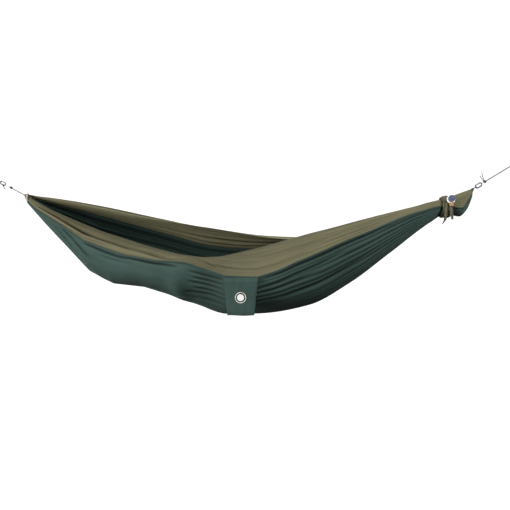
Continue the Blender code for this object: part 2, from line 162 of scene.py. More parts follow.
def chain(start, end):
    """A function that gives points along a taut chain: distance, side and height off it."""
    run = (Vector(end) - Vector(start)).normalized()
    rise = Vector((-run.z, 0.0, run.x))
    return lambda s, side=0.0, up=0.0: Vector(start) + run * s + rise * up + Vector((0, side, 0))


left_chain = chain(LEFT_ANCHOR, LEFT_TIP)
right_chain = chain(RIGHT_TIP, RIGHT_ANCHOR)
RIGHT_REACH = (Vector(RIGHT_ANCHOR) - Vector(RIGHT_TIP)).length


def eased(points, count):
    """A smooth curve through given points, spaced evenly."""
    rows = np.array([tuple(p) for p in points], float)
    padded = np.vstack([2 * rows[0] - rows[1], rows, 2 * rows[-1] - rows[-2]])
    fine = []
    for i in range(1, len(padded) - 2):
        a, b, c, d = padded[i - 1:i + 3]
        for t in np.linspace(0, 1, 24, endpoint=False):
            fine.append(0.5 * (2 * b + (c - a) * t + (2 * a - 5 * b + 4 * c - d) * t * t
                               + (3 * b - a - 3 * c + d) * t ** 3))
    fine = np.array(fine + [rows[-1]])
    run = np.concatenate([[0], np.cumsum(np.linalg.norm(np.diff(fine, axis=0), axis=1))])
    even = np.linspace(0, run[-1], count)
    return np.column_stack([np.interp(even, run, fine[:, k]) for k in range(3)])


def route_length(route):
    return float(np.linalg.norm(np.diff(np.array(route, float), axis=0), axis=1).sum())


print("right chain", round(RIGHT_REACH, 4), "m from the cloth to the ring")

# %% [markdown]
# The tube itself is a grid of points that is closed round. At each step the ring is turned
# as little as possible, so that the strands wind evenly and don't kink where a cord bends.
# %% Swept tube


def grid_faces(rows, columns, ring=False):
    """Quads over a grid of points, closed round when it is a ring."""
    wide = columns if ring else columns - 1
    return [
        (i * columns + j, i * columns + (j + 1) % columns,
         (i + 1) * columns + (j + 1) % columns, (i + 1) * columns + j)
        for i in range(rows - 1) for j in range(wide)
    ]


def tube_faces(rows, sides):
    """A closed tube: quads round it and a flat cap at each end."""
    last = (rows - 1) * sides
    return [tuple(range(sides))[::-1], *grid_faces(rows, sides, ring=True), tuple(range(last, last + sides))]


def sweep_tube(name, route, radius, strands=0, relief=0.0, pitch=0.02, sides=16, taper=None):
    """A tube along a route. Strands wind round it once in every pitch."""
    route = np.array([tuple(p) for p in route], float)
    ahead = np.gradient(route, axis=0)
    ahead /= np.linalg.norm(ahead, axis=1)[:, None]
    side = np.cross(ahead[0], (0.0, 0.0, 1.0))
    if np.linalg.norm(side) < 0.1:
        side = np.cross(ahead[0], (0.0, 1.0, 0.0))
    run = 0.0
    points = []
    for i, (place, way) in enumerate(zip(route, ahead)):
        side = side - way * (side @ way)
        side /= np.linalg.norm(side)
        up = np.cross(way, side)
        run += np.linalg.norm(place - route[i - 1]) if i else 0.0
        size = radius * (taper[i] if taper is not None else 1.0)
        for k in range(sides):
            a = 2 * math.pi * k / sides
            wave = abs(math.cos(0.5 * strands * (a + 2 * math.pi * run / pitch))) if strands else 1.0
            r = size * (1 - relief * (1 - wave))
            points.append(place + (side * math.cos(a) + up * math.sin(a)) * r)
    return build(name, points, tube_faces(len(route), sides))


print("left chain", round((Vector(LEFT_TIP) - Vector(LEFT_ANCHOR)).length, 4), "m")

# %% [markdown]
# The left rope is a short sling: one cord goes round the ring of the wall plate, comes back,
# goes round the snap hook and meets itself, and a tight twine whipping holds the four legs.
# A taut cord needs no simulation, so its route is drawn from the chain it pulls along.
# %% Left sling, link and cord
SLING = 0.0042


def turn_round(at, centre, half, toward, steps=9):
    """Half a turn of cord round a ring or hook that stands at centre along the chain."""
    return [
        at(centre + toward * half * math.sin(math.pi * i / (steps - 1)),
           half * math.cos(math.pi * i / (steps - 1)) * toward)
        for i in range(steps)
    ]


close = SLING / 2 + 0.0002
sling_route = eased(
    [left_chain(0.0300, -close), left_chain(0.0225, -close)]
    + turn_round(left_chain, -0.0030, 0.0140, -1)
    + [left_chain(0.0225, close), left_chain(0.0360, close)]
    + turn_round(left_chain, 0.0518, 0.0062, 1)
    + [left_chain(0.0360, -close), left_chain(0.0318, -close)], 150)
left_sling = sweep_tube("left_sling", sling_route, SLING / 2, strands=8, relief=0.10, pitch=0.018)
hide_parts("left_anchor_loop", "left_hook_loop")

link_close = 0.0017
link_route = eased(
    [left_chain(0.1150, link_close), left_chain(0.1080, link_close), left_chain(0.0960, 0.0034)]
    + turn_round(left_chain, 0.0845, 0.0050, -1)
    + [left_chain(0.0960, -0.0034), left_chain(0.1080, -link_close), left_chain(0.1150, -link_close)], 90)
left_link = sweep_tube("left_link_cord", link_route, 0.0015, strands=6, relief=0.10, pitch=0.009, sides=12)
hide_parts("left_link")

cord_route = eased([left_chain(s) for s in np.linspace(0.1300, 0.2135, 16)], 60)
left_cord = sweep_tube("left_end_cord", cord_route, 0.0023, strands=6, relief=0.12, pitch=0.012)
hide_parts("left_cord")
print("left sling", round(route_length(sling_route), 4), "link", round(route_length(link_route), 4),
      "end cord", round(route_length(cord_route), 4))

# %% [markdown]
# The right rope ends in an eye splice: it goes round the ring, comes back and is whipped to
# itself. Below it a knot joins the rope to a thin loop in the snap hook, and two short tails
# stick out of that knot. A second loop ties the hook to the bunched cloth.
# %% Right rope, loops and tails
rope_close = 0.0029
rope_route = eased(
    [right_chain(s) for s in np.linspace(0.0800, 0.2450, 14)]
    + [right_chain(0.2600, rope_close * 0.6), right_chain(0.2740, rope_close)]
    + turn_round(right_chain, RIGHT_REACH + 0.0030, 0.0140, 1)
    + [right_chain(0.2740, -rope_close), right_chain(0.2620, -rope_close * 1.3)], 170)
right_rope = sweep_tube("right_braided_rope", rope_route, 0.0028, strands=8, relief=0.10, pitch=0.024)
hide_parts("right_rope", "right_anchor_loop")

hook_loop_route = eased(
    [right_chain(0.0680, link_close), right_chain(0.0620, link_close)]
    + turn_round(right_chain, 0.0517, 0.0055, -1)
    + [right_chain(0.0620, -link_close), right_chain(0.0680, -link_close)], 60)
right_hook_loop = sweep_tube("right_thin_loop", hook_loop_route, 0.0015, strands=6, relief=0.10,
                             pitch=0.009, sides=12)
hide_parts("right_hook_loop")

end_close = 0.0022
end_loop_route = eased(
    [right_chain(-0.0060, end_close), right_chain(0.0030, end_close)]
    + turn_round(right_chain, 0.0120, 0.0062, 1)
    + [right_chain(0.0030, -end_close), right_chain(-0.0060, -end_close)], 60)
right_end_loop = sweep_tube("right_end_cord", end_loop_route, 0.0020, strands=6, relief=0.12, pitch=0.012)
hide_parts("right_end_loop")

LONG_TAIL = (
    (2.9146, 0.0, -0.0145), (2.9100, -0.001, -0.002), (2.9045, -0.003, 0.014), (2.9000, -0.004, 0.030),
)
SHORT_TAIL = (
    (2.9095, -0.006, -0.019), (2.902, -0.010, -0.010), (2.893, -0.014, 0.001), (2.886, -0.016, 0.0095),
)
LEFT_TAIL = ((0.0640, -0.010, -0.048), (0.068, -0.011, -0.055), (0.077, -0.011, -0.0665))
tails = {}
for name, node, route in (("right_tail_up", "right_tail_long", LONG_TAIL),
                          ("right_tail_back", "right_tail_short", SHORT_TAIL),
                          ("left_tail_down", "left_tail", LEFT_TAIL)):
    tails[name] = eased(route, 36)
    piece = sweep_tube(name, tails[name], 0.0019, strands=6, relief=0.12, pitch=0.011, sides=12)
    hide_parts(node)
print("right rope", round(route_length(rope_route), 4), "thin loop", round(route_length(hook_loop_route), 4),
      "end loop", round(route_length(end_loop_route), 4))

# %% [markdown]
# A knot seen from a few metres is a short fat roll with the cord's own turns on it. Three
# turns of cord wound tightly round the standing part, with one turn crossing back over
# them, read as a barrel knot from every side and need one swept tube each.
# %% Knots and whippings


def barrel_knot(name, at, s, long, wide, cord, turns=3.0, up=0.0, side=0.0):
    """Cord wound round the chain at s, then led back across its own turns."""
    wound = wide - cord
    route = []
    for i in range(int(turns * 20) + 1):
        share = i / (turns * 20)
        a = 2 * math.pi * turns * share
        swell = wound * (0.82 + 0.18 * math.sin(math.pi * share))
        route.append(at(s + (share - 0.5) * (long - 2 * cord),
                        side + swell * math.cos(a), up + swell * math.sin(a)))
    for i in range(1, 13):
        share = i / 12
        lift = (wound + cord * 1.1) * (1 - 0.35 * share * share)
        a = 0.9 * math.pi * share
        route.append(at(s + (0.5 - share) * (long - 2 * cord) * 0.96,
                        side + lift * math.cos(a), up + lift * math.sin(a)))
    return sweep_tube(name, eased(route, 150), cord, strands=6, relief=0.10, pitch=0.010, sides=10)


def whipping(name, at, s_from, s_to, outer, twine, wide=1.0):
    """Twine wound side by side round the cords it binds."""
    turns = int(abs(s_to - s_from) / (2 * twine * 0.96))
    route = []
    for i in range(turns * 18 + 1):
        share = i / (turns * 18)
        a = 2 * math.pi * turns * share
        r = outer - twine
        route.append(at(s_from + (s_to - s_from) * share, r * wide * math.cos(a), r * math.sin(a)))
    return sweep_tube(name, route, twine, sides=8)


left_knot = barrel_knot("left_barrel_knot", left_chain, 0.1225, 0.0176, 0.0064, 0.0021)
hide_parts("left_knot")
right_knot = barrel_knot("right_barrel_knot", right_chain, 0.0745, 0.0196, 0.0086, 0.0024)
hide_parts("right_knot")
left_hitch = barrel_knot("left_tail_hitch", left_chain, 0.0775, 0.0120, 0.0052, 0.0017, turns=2.0, up=-0.0088,
                         side=-0.0062)
sling_twine = whipping("left_sling_whipping", left_chain, 0.0215, 0.0365, 0.0047, 0.0005)
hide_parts("left_rope")
splice_twine = whipping("right_splice_whipping", right_chain, 0.2590, 0.2760, 0.0052, 0.0006, wide=1.12)
print("knots:", left_knot.name, right_knot.name, left_hitch.name, "twine:", sling_twine.name, splice_twine.name)

# %% [markdown]
# ## Snap hooks
# A lip, a collar and a pin are cut on a lathe, so one helper turns a profile round a line.
# They belong to a larger piece, so a second helper joins several parts into one mesh.
# %% Turned parts and joined parts


def revolve(name, profile, start, way, sides=28):
    """A turned solid: (distance along, radius) pairs swept round a line."""
    way = Vector(way).normalized()
    side = way.orthogonal().normalized()
    up = way.cross(side)
    points = []
    for out, r in profile:
        for k in range(sides):
            a = 2 * math.pi * k / sides
            points.append(Vector(start) + way * out + (side * math.cos(a) + up * math.sin(a)) * r)
    return build(name, points, tube_faces(len(profile), sides))


def joined(name, parts):
    """One mesh object from several."""
    bpy.ops.object.select_all(action="DESELECT")
    for made in parts:
        made.select_set(True)
    bpy.context.view_layer.objects.active = parts[0]
    bpy.ops.object.join()
    whole = bpy.context.view_layer.objects.active
    whole.name = name
    whole.data.name = name
    whole.select_set(False)
    return whole


print("lathe and joining helpers ready")

# %% [markdown]
# Each hook is one rod bent into a D, with a straight gate that pivots inwards. The rod is a
# swept tube again, slightly thinner at the nose. Its other end is a fork: two flat cheeks
# hold the pin that the gate turns on, so the gate's foot is slimmer and fits between them.
# A small collar finishes the gate where it meets the nose.
# %% Hook bodies and gates


def fork_cheek(at, s_from, pin_at, up, tall, y_low, y_high):
    """One side of the fork that holds the gate's pin: a flat tongue with a round end."""
    outline = [(s_from, -tall)]
    half_turn = np.linspace(-math.pi / 2, math.pi / 2, 17)
    outline += [(pin_at + tall * math.cos(a), tall * math.sin(a)) for a in half_turn]
    outline.append((s_from, tall))
    count = len(outline)
    points = [at(s, y, up + u) for y in (y_low, y_high) for s, u in outline]
    faces = [tuple(range(count)), tuple(range(count, 2 * count))[::-1]]
    faces += [(k, count + k, count + (k + 1) % count, (k + 1) % count) for k in range(count)]
    return build("fork_cheek", points, faces, smooth=False)


def snap_hook(side_word, at, s, long, wide, rod):
    half = wide / 2 - rod
    run = long - 2 * rod - 2 * half
    middle = s + long / 2
    bow = []
    for i in range(25):
        a = math.radians(90 + 180 * i / 24)
        bow.append(at(middle - run / 2 + half * math.cos(a), 0.0, half * math.sin(a)))
    for i in range(25):
        a = math.radians(-90 + 180 * i / 24)
        bow.append(at(middle + run / 2 + half * math.cos(a), 0.0, half * math.sin(a)))
    ends = np.linspace(0, 1, 110)
    thin = 1 - 0.16 * np.exp(-((1 - ends) / 0.03) ** 2) - 0.16 * np.exp(-(ends / 0.03) ** 2)
    body = sweep_tube(side_word + "_hook_rod", eased(bow, 110), rod, sides=20, taper=thin)
    nose = at(middle + run / 2, 0.0, half)
    ahead = at(1.0) - at(0.0)
    lip_profile = ((-0.0011, rod * 0.62), (-0.0008, rod * 0.94), (0.0004, rod * 1.06), (0.0016, rod * 1.02))
    lip = revolve("nose", lip_profile, nose, ahead)
    slim = rod * 0.8
    foot, tip = middle - run / 2 + 0.0018, middle + run / 2 - 0.0009
    pin_at = foot + slim
    cheeks = [fork_cheek(at, middle - run / 2 - 0.0016, pin_at, half, slim * 0.62, y - rod * 0.13, y + rod * 0.13)
              for y in (-rod * 0.87, rod * 0.87)]
    body = joined(side_word + "_hook_rod", [body, lip, *cheeks])
    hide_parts(side_word + "_hook")
    gate_route = [at(v, 0.0, half) for v in np.linspace(foot + 0.0004, tip - 0.0014, 20)]
    neck = 0.84 + 0.16 * np.clip((np.linspace(0, 1, 20) - 0.26) / 0.12, 0, 1)
    gate = sweep_tube("gate_rod", gate_route, slim, sides=18, taper=neck)
    collar_profile = ((0, slim * 0.9), (0.0004, slim * 1.16), (0.0016, slim * 1.16), (0.0020, slim * 0.9))
    collar = revolve("collar", collar_profile, at(tip - 0.0046, 0.0, half), ahead)
    long_pin = 2.12 * rod
    pin_profile = ((0, slim * 0.26), (0.0003, slim * 0.36),
                   (long_pin - 0.0003, slim * 0.36), (long_pin, slim * 0.26))
    pin = revolve("pin", pin_profile, at(pin_at, -long_pin / 2, half), (0, 1, 0), 20)
    gate = joined(side_word + "_hook_gate_rod", [gate, collar, pin])
    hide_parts(side_word + "_hook_gate")
    return body, gate


left_hook, left_gate = snap_hook("left", left_chain, 0.048, 0.040, 0.022, 0.0026)
right_hook, right_gate = snap_hook("right", right_chain, 0.008, 0.048, 0.027, 0.0034)
print("hooks:", left_hook.name, right_hook.name, "gates:", left_gate.name, right_gate.name)

# %% [markdown]
# ## Cloth
# Five sewn lines hold the whole hammock: two hems, two seams, and the keel that the slack
# hangs down to. A cloth simulation could drape it, but the sewn lines and the gathered ends decide
# this shape, and drawing them gives the same cloth every time. We write each line as stations
# from the left end to the right end, and draw a cubic through them that never overshoots.
# A cross-section of the centre panel is then two quarter ellipses that meet at the keel, and
# a side panel is a strip with a slight belly.
# %% Sewn lines
CLOTH_LEFT, CLOTH_RIGHT = 0.2055, 2.8440
FAR_HEM = (
    (0.20, 0.008, -0.098), (0.50, 0.060, -0.158), (0.90, 0.110, -0.240), (1.30, 0.135, -0.303),
    (1.70, 0.140, -0.364), (1.90, 0.130, -0.374), (2.10, 0.115, -0.316), (2.50, 0.065, -0.184),
    (2.69, 0.026, -0.124), (2.77, 0.025, -0.098), (2.85, 0.010, -0.066),
)
FAR_SEAM = (
    (0.20, 0.017, -0.119), (0.36, 0.120, -0.160), (0.66, 0.250, -0.243), (1.00, 0.350, -0.343),
    (1.29, 0.390, -0.419), (1.50, 0.400, -0.436), (1.85, 0.380, -0.416), (2.10, 0.330, -0.357),
    (2.50, 0.175, -0.225), (2.69, 0.044, -0.168), (2.77, 0.055, -0.160), (2.85, 0.013, -0.084),
)
KEEL = (
    (0.20, 0.0, -0.146), (0.32, -0.010, -0.278), (0.46, -0.020, -0.424), (0.58, -0.028, -0.550),
    (0.72, -0.034, -0.622), (0.90, -0.036, -0.642), (1.17, -0.036, -0.730), (1.40, -0.036, -0.806),
    (1.60, -0.036, -0.800), (1.88, -0.034, -0.750), (2.12, -0.030, -0.620), (2.36, -0.020, -0.441),
    (2.60, -0.008, -0.262), (2.69, 0.0, -0.215), (2.77, 0.0, -0.229), (2.815, 0.0, -0.188),
    (2.85, 0.0, -0.104),
)
NEAR_SEAM = (
    (0.20, -0.013, -0.126), (0.25, -0.034, -0.174), (0.41, -0.110, -0.272), (0.57, -0.170, -0.368),
    (0.82, -0.260, -0.450), (1.00, -0.305, -0.477), (1.17, -0.340, -0.486), (1.39, -0.370, -0.560),
    (1.57, -0.370, -0.564), (1.80, -0.350, -0.479), (2.14, -0.280, -0.338), (2.50, -0.160, -0.206),
    (2.69, -0.044, -0.170), (2.77, -0.052, -0.180), (2.815, -0.030, -0.134), (2.85, -0.011, -0.086),
)
NEAR_HEM = (
    (0.20, -0.004, -0.108), (0.33, -0.010, -0.181), (0.66, -0.020, -0.320), (1.00, -0.030, -0.426),
    (1.20, -0.030, -0.483), (1.30, -0.030, -0.474), (1.55, -0.030, -0.422), (1.94, -0.030, -0.315),
    (2.42, -0.020, -0.190), (2.69, -0.012, -0.119), (2.77, -0.010, -0.092), (2.85, -0.004, -0.063),
)


def line_at(stations, xs):
    """(y, z) rows of a sewn line at many x."""
    rows = np.array(stations)
    gaps = np.diff(rows[:, 0])
    slopes = np.diff(rows[:, 1:], axis=0) / gaps[:, None]
    tangents = np.vstack([slopes[:1], np.zeros((len(rows) - 2, 2)), slopes[-1:]])
    product = slopes[:-1] * slopes[1:]
    total = np.where(product > 0, slopes[:-1] + slopes[1:], 1.0)
    tangents[1:-1] = np.where(product > 0, 2 * product / total, 0.0)
    i = np.clip(np.searchsorted(rows[:, 0], xs) - 1, 0, len(gaps) - 1)
    t = ((xs - rows[i, 0]) / gaps[i])[:, None]
    ease = t * t * (3 - 2 * t)
    bend = gaps[i][:, None] * (t * (1 - t) ** 2 * tangents[i] - t * t * (1 - t) * tangents[i + 1])
    return rows[i, 1:] + ease * (rows[i + 1, 1:] - rows[i, 1:]) + bend


def stations_along(count):
    """Steps along the cloth, closer together towards both gathered ends."""
    even = np.linspace(0, 1, count)
    return CLOTH_LEFT + (CLOTH_RIGHT - CLOTH_LEFT) * (even - 0.10 * np.sin(2 * math.pi * even))


print("keel hangs to", round(float(line_at(KEEL, np.array([1.45]))[0, 1]), 3))

# %% [markdown]
# A cloth that is gathered to a bunch can't be smooth: a metre of width has to fit in a few
# centimetres, so it stands in lengthwise pleats that are deep at the ends and die out towards
# the middle. We add them as a height off the smooth shape. The centres of the pleats are
# spaced unevenly, each fades at a length of its own, and listed creases go on top.
# %% Pleats and creases


def bump(t):
    """0 to 1 and flat at both ends."""
    t = np.clip(t, 0, 1)
    return t * t * (3 - 2 * t)


def wander(count, rough, seed):
    """A smooth random row of numbers between about -1 and 1."""
    source = np.random.default_rng(seed)
    knots = source.uniform(-1, 1, int(rough) + 3)
    place = np.linspace(0, rough, count)
    i = np.floor(place).astype(int)
    t = bump(place - i)
    return knots[i] * (1 - t) + knots[i + 1] * t


def pleats(xs, t, width, pleat, seed, deep, reach_left, reach_right):
    """Height rows of lengthwise pleats. Each ridge is one pleat of cloth, and fades inwards."""
    source = np.random.default_rng(seed)
    count = max(3, int(round(width / pleat)))
    edges = np.linspace(0, 1, count + 1)
    edges[1:-1] += source.uniform(-0.30, 0.30, count - 1) / count
    which = np.clip(np.searchsorted(edges, t, side="right") - 1, 0, count - 1)
    inside = (t - edges[which]) / (edges[which + 1] - edges[which])
    shape = np.sin(math.pi * inside) ** 0.8
    span = (xs - xs[0]) / (xs[-1] - xs[0])
    left = source.uniform(0.55, 1.45, count) * reach_left
    right = source.uniform(0.55, 1.45, count) * reach_right
    strong = 0.30 + 0.70 * source.uniform(0.0, 1.0, count) ** 1.5
    fade = (np.exp(-(span[:, None] / left[which][None, :]) ** 2.2)
            + np.exp(-((1 - span[:, None]) / right[which][None, :]) ** 2.2))
    return deep[:, None] * strong[which][None, :] * np.clip(fade, 0, 1) * (shape[None, :] - 1.0)


def crease(field, xs, down, x0, f0, x1, f1, wide, depth):
    """Adds a fold along a line from (x0, f0) to (x1, f1), f being a share of the way down."""
    drop = 0.30
    ax, af = x1 - x0, (f1 - f0) * drop
    size = ax * ax + af * af
    px, pf = xs[:, None] - x0, (down - f0) * drop
    along = np.clip((px * ax + pf * af) / size, 0, 1)
    off = np.hypot(px - along * ax, pf - along * af)
    ends = np.sqrt(np.clip(np.sin(math.pi * np.clip(0.04 + 0.92 * along, 0, 1)), 0, 1))
    field += depth * ends * np.exp(-(off / wide) ** 2)


print("pleat helper ready, seed row", np.round(wander(4, 2, 5), 3))

# %% [markdown]
# Each panel is one grid of points: rows along the hammock, columns across it. The points
# carry a second set of coordinates, the place on the flat cloth in metres, so that weave
# and wrinkles in the finish follow the threads. A Solidify modifier gives the cloth its
# thickness, which shows at a free edge. Narrow folds are also marked with how deep they are,
# because little light gets into them and the finish can then darken them.
# %% Panel helper
ROWS = 224
CLOTH_THICK = 0.0007


def hollows(height, side=1.0, reach=5):
    """0 on open cloth to 1 at the bottom of a narrow fold, seen from outside (side 1) or inside (-1)."""
    padded = np.pad(height, ((0, 0), (reach, reach)), mode="edge")
    total = np.cumsum(np.pad(padded, ((0, 0), (1, 0))), axis=1)
    around = (total[:, 2 * reach + 1:] - total[:, :-2 * reach - 1]) / (2 * reach + 1)
    return np.clip((around - height) * side / 0.006, 0, 1)


def mark_painted_shade(made, values):
    """Keeps the fold depth on the mesh, for the finish to paint shade into the folds."""
    layer = made.data.attributes.new("fold_painted_shade", "FLOAT", "POINT")
    layer.data.foreach_set("value", np.asarray(values, np.float32).ravel())


def lay_flat(made, flat):
    """Gives each point its place on the flat cloth, in metres, as a UV map."""
    corners = np.empty(len(made.data.loops), np.int32)
    made.data.loops.foreach_get("vertex_index", corners)
    layer = made.data.uv_layers.new(name="flat_cloth")
    layer.data.foreach_set("uv", np.asarray(flat)[corners].astype(np.float32).ravel())


def thicken(made, by):
    thick = made.modifiers.new("cloth_thickness", "SOLIDIFY")
    thick.thickness = by
    thick.offset = 0.0
    return made


def lay_cloth(name, points, across_width):
    """A panel from (rows, columns, 3) points, with the flat cloth's coordinates as its UV map."""
    rows, columns = points.shape[:2]
    made = build(name, points.reshape(-1, 3), grid_faces(rows, columns))
    run = np.linalg.norm(np.diff(points[:, columns // 2], axis=0), axis=1)
    u = np.concatenate([[0], np.cumsum(run)])[:, None] * np.ones(columns)[None, :]
    v = np.ones(rows)[:, None] * np.linspace(0, across_width, columns)[None, :]
    lay_flat(made, np.dstack([u, v]).reshape(-1, 2))
    return thicken(made, CLOTH_THICK)


def off_surface(section, height):
    """Moves a grid of (y, z) rows out along their own normals."""
    way = np.gradient(section, axis=1)
    way /= np.maximum(np.linalg.norm(way, axis=2, keepdims=True), 1e-9)
    out = np.dstack([way[:, :, 1], -way[:, :, 0]])
    return section + out * height[:, :, None]


def cloth_area(points):
    a = points[1:, :-1] - points[:-1, :-1]
    b = points[:-1, 1:] - points[:-1, :-1]
    return float(np.linalg.norm(np.cross(a, b), axis=2).sum())


print("panel helpers ready for", ROWS, "rows")

# %% [markdown]
# Now the sewn lines are read off at every row. The left of the hammock hangs slack, so the
# keel and the near seam keep their corners there. A small ripple runs along the free edges,
# because a sewn hem is never quite straight.
# %% Sewn lines at every row


def with_corners(line, stations, most, until):
    """Keeps the corners of a sewn line up to a given x, where the cloth hangs slack and angular."""
    rows = np.array(stations)
    straight = np.column_stack([np.interp(xs, rows[:, 0], rows[:, k]) for k in (1, 2)])
    angular = (most * bump((until - xs) / 0.20))[:, None]
    return line * (1 - angular) + straight * angular


xs = stations_along(ROWS)
span = (xs - xs[0]) / (xs[-1] - xs[0])
near_seam, far_seam = line_at(NEAR_SEAM, xs), line_at(FAR_SEAM, xs)
near_hem, far_hem, keel = line_at(NEAR_HEM, xs), line_at(FAR_HEM, xs), line_at(KEEL, xs)
keel = with_corners(keel, KEEL, 0.8, 1.15)
near_seam = with_corners(near_seam, NEAR_SEAM, 0.85, 1.75)
ripple = 0.0035 * bump(span / 0.15) * bump((1 - span) / 0.15)
near_hem = near_hem + (ripple * wander(ROWS, 26, 3))[:, None] * np.array([1.0, 0.5])
far_hem = far_hem + (ripple * wander(ROWS, 22, 4))[:, None] * np.array([0.4, 0.4])
near_seam = near_seam + (0.5 * ripple * wander(ROWS, 24, 6))[:, None] * np.array([0.5, 1.0])
print("rows", ROWS, "from", round(xs[0], 3), "to", round(xs[-1], 3))

# %% [markdown]
# The centre panel takes nearly all the weight. Its front hangs slack below the near seam,
# so it gets soft creases, each given as start and end (x and share of the way down), width
# and depth. Inside, the cloth runs in long pleats towards both ends.
# %% Centre panel
CENTRE_FRONT_FOLDS = (
    (0.44, 0.08, 0.62, 0.46, 0.018, -0.014), (0.40, 0.26, 0.54, 0.78, 0.018, -0.009),
    (0.52, 0.30, 0.66, 0.90, 0.024, 0.012), (0.58, 0.07, 0.84, 0.10, 0.012, -0.018),
    (0.80, 0.05, 1.12, 0.09, 0.011, -0.018), (0.66, 0.24, 0.86, 0.20, 0.016, -0.007),
    (0.70, 0.50, 1.06, 0.52, 0.080, 0.020), (1.11, 0.08, 1.13, 0.85, 0.055, 0.028),
    (1.31, 0.12, 1.33, 0.88, 0.085, -0.028),
    (0.98, 0.82, 1.22, 0.84, 0.011, -0.016), (1.15, 0.90, 1.37, 0.88, 0.010, -0.010),
    (1.20, 0.16, 1.38, 0.10, 0.010, -0.013), (1.22, 0.28, 1.38, 0.22, 0.009, -0.014),
    (1.20, 0.40, 1.38, 0.36, 0.010, -0.013), (1.23, 0.52, 1.38, 0.50, 0.009, -0.014),
    (1.18, 0.64, 1.38, 0.62, 0.010, -0.012), (1.20, 0.76, 1.38, 0.76, 0.010, -0.010),
    (1.60, 0.08, 2.30, 0.06, 0.010, -0.014), (1.60, 0.26, 2.05, 0.20, 0.010, -0.012),
    (1.58, 0.40, 1.90, 0.34, 0.012, -0.009), (1.70, 0.62, 2.25, 0.52, 0.012, -0.012),
)
CENTRE_BACK_FOLDS = tuple(
    (0.26 + 0.02 * i, 0.10 + 0.085 * i, 1.75, 0.07 + 0.065 * i, 0.0085, 0.024 - 0.005 * (i % 2))
    for i in range(9)
)
CENTRE_WIDTH = 1.02
CENTRE_COLUMNS = 210
DEEPEST_PLEAT = 0.0150
turn = np.linspace(0, 2, CENTRE_COLUMNS)
front = turn < 1
angle = np.where(front, turn, 2 - turn) * math.pi / 2
edge = np.where(front[None, :, None], near_seam[:, None, :], far_seam[:, None, :])
low = keel[:, None, :]
section = np.dstack([
    low[:, :, 0] + (edge[:, :, 0] - low[:, :, 0]) * np.cos(angle)[None, :],
    edge[:, :, 1] + (low[:, :, 1] - edge[:, :, 1]) * np.sin(angle)[None, :],
])
chord = low + (edge - low) * (1 - np.sin(angle))[None, :, None]
flatter = (0.34 * bump((xs - 1.45) / 0.45))[:, None, None]
section = section * (1 - flatter) + chord * flatter
down_front = np.where(front, np.sin(angle), 9.0)[None, :]
down_back = np.where(front, 9.0, np.sin(angle))[None, :]
girth = np.linalg.norm(np.diff(section, axis=1), axis=2).sum(axis=1)
room = np.minimum(DEEPEST_PLEAT, 0.42 * girth / 22)
outside = pleats(xs, turn / 2, CENTRE_WIDTH, 0.042, 7, room, 0.15, 0.62)
outside *= 1 - (bump((xs - 0.42) / 0.2) * bump((1.52 - xs) / 0.25))[:, None]
outside *= 1 - 0.8 * bump((2.20 - xs) / 0.40)[:, None] * bump((turn - 0.35) / 0.25)[None, :]
inside_part = -pleats(xs, turn / 2, CENTRE_WIDTH, 0.046, 8, 1.4 * room, 0.75, 0.80)
mix_in = bump((turn - 0.85) / 0.3)[None, :]
height = outside * (1 - mix_in) + inside_part * mix_in
for x0, f0, x1, f1, wide, depth in CENTRE_FRONT_FOLDS:
    crease(height, xs, down_front, x0, f0, x1, f1, wide, depth)
for x0, f0, x1, f1, wide, depth in CENTRE_BACK_FOLDS:
    crease(height, xs, down_back, x0, f0, x1, f1, wide, depth)
sewn = bump(turn / 0.05) * bump((2 - turn) / 0.05)
height *= sewn[None, :]
centre_points = np.dstack([np.repeat(xs[:, None], CENTRE_COLUMNS, 1), off_surface(section, height)])
centre = lay_cloth("centre_cloth", centre_points, CENTRE_WIDTH)
mark_painted_shade(centre, hollows(height) * (1 - mix_in) + 0.7 * hollows(height, -1.0) * mix_in)
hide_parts("centre_panel")
print("centre cloth area", round(cloth_area(centre_points), 3), "deepest fold", round(float(-height.min()), 4))

# %% [markdown]
# The side panels are narrower strips between a seam and a free hem. The near one has slumped
# over on the left, so it folds lengthwise into a valley between two lit ridges. The far one
# is seen from its inner side, where long folds run along it.
# %% Side panels
SIDE_WIDTH = 0.28
SIDE_COLUMNS = 84
share = np.linspace(0, 1, SIDE_COLUMNS)


def side_cloth(name, hem, seam, outer, seed, reach, shape_more):
    across = seam - hem
    out = np.column_stack([across[:, 1], -across[:, 0]]) * outer
    strip = (hem[:, None, :] + across[:, None, :] * share[None, :, None]
             + out[:, None, :] * 0.10 * np.sin(math.pi * share)[None, :, None])
    wide = np.linalg.norm(across, axis=1)
    height = pleats(xs, share, SIDE_WIDTH, 0.034, seed, np.minimum(0.013, 0.50 * wide / 8), *reach)
    if outer < 0:
        height = (height.mean(axis=1, keepdims=True) - height) * bump(share / 0.30)[None, :]
    shape_more(height, wide[:, None])
    height *= (bump(share / 0.10) * bump((1 - share) / 0.10))[None, :]
    points = np.dstack([np.repeat(xs[:, None], SIDE_COLUMNS, 1), off_surface(strip, height * outer)])
    made = lay_cloth(name, points, SIDE_WIDTH)
    mark_painted_shade(made, hollows(height, outer, 4))
    print(name, "area", round(cloth_area(points), 3))
    return made, points


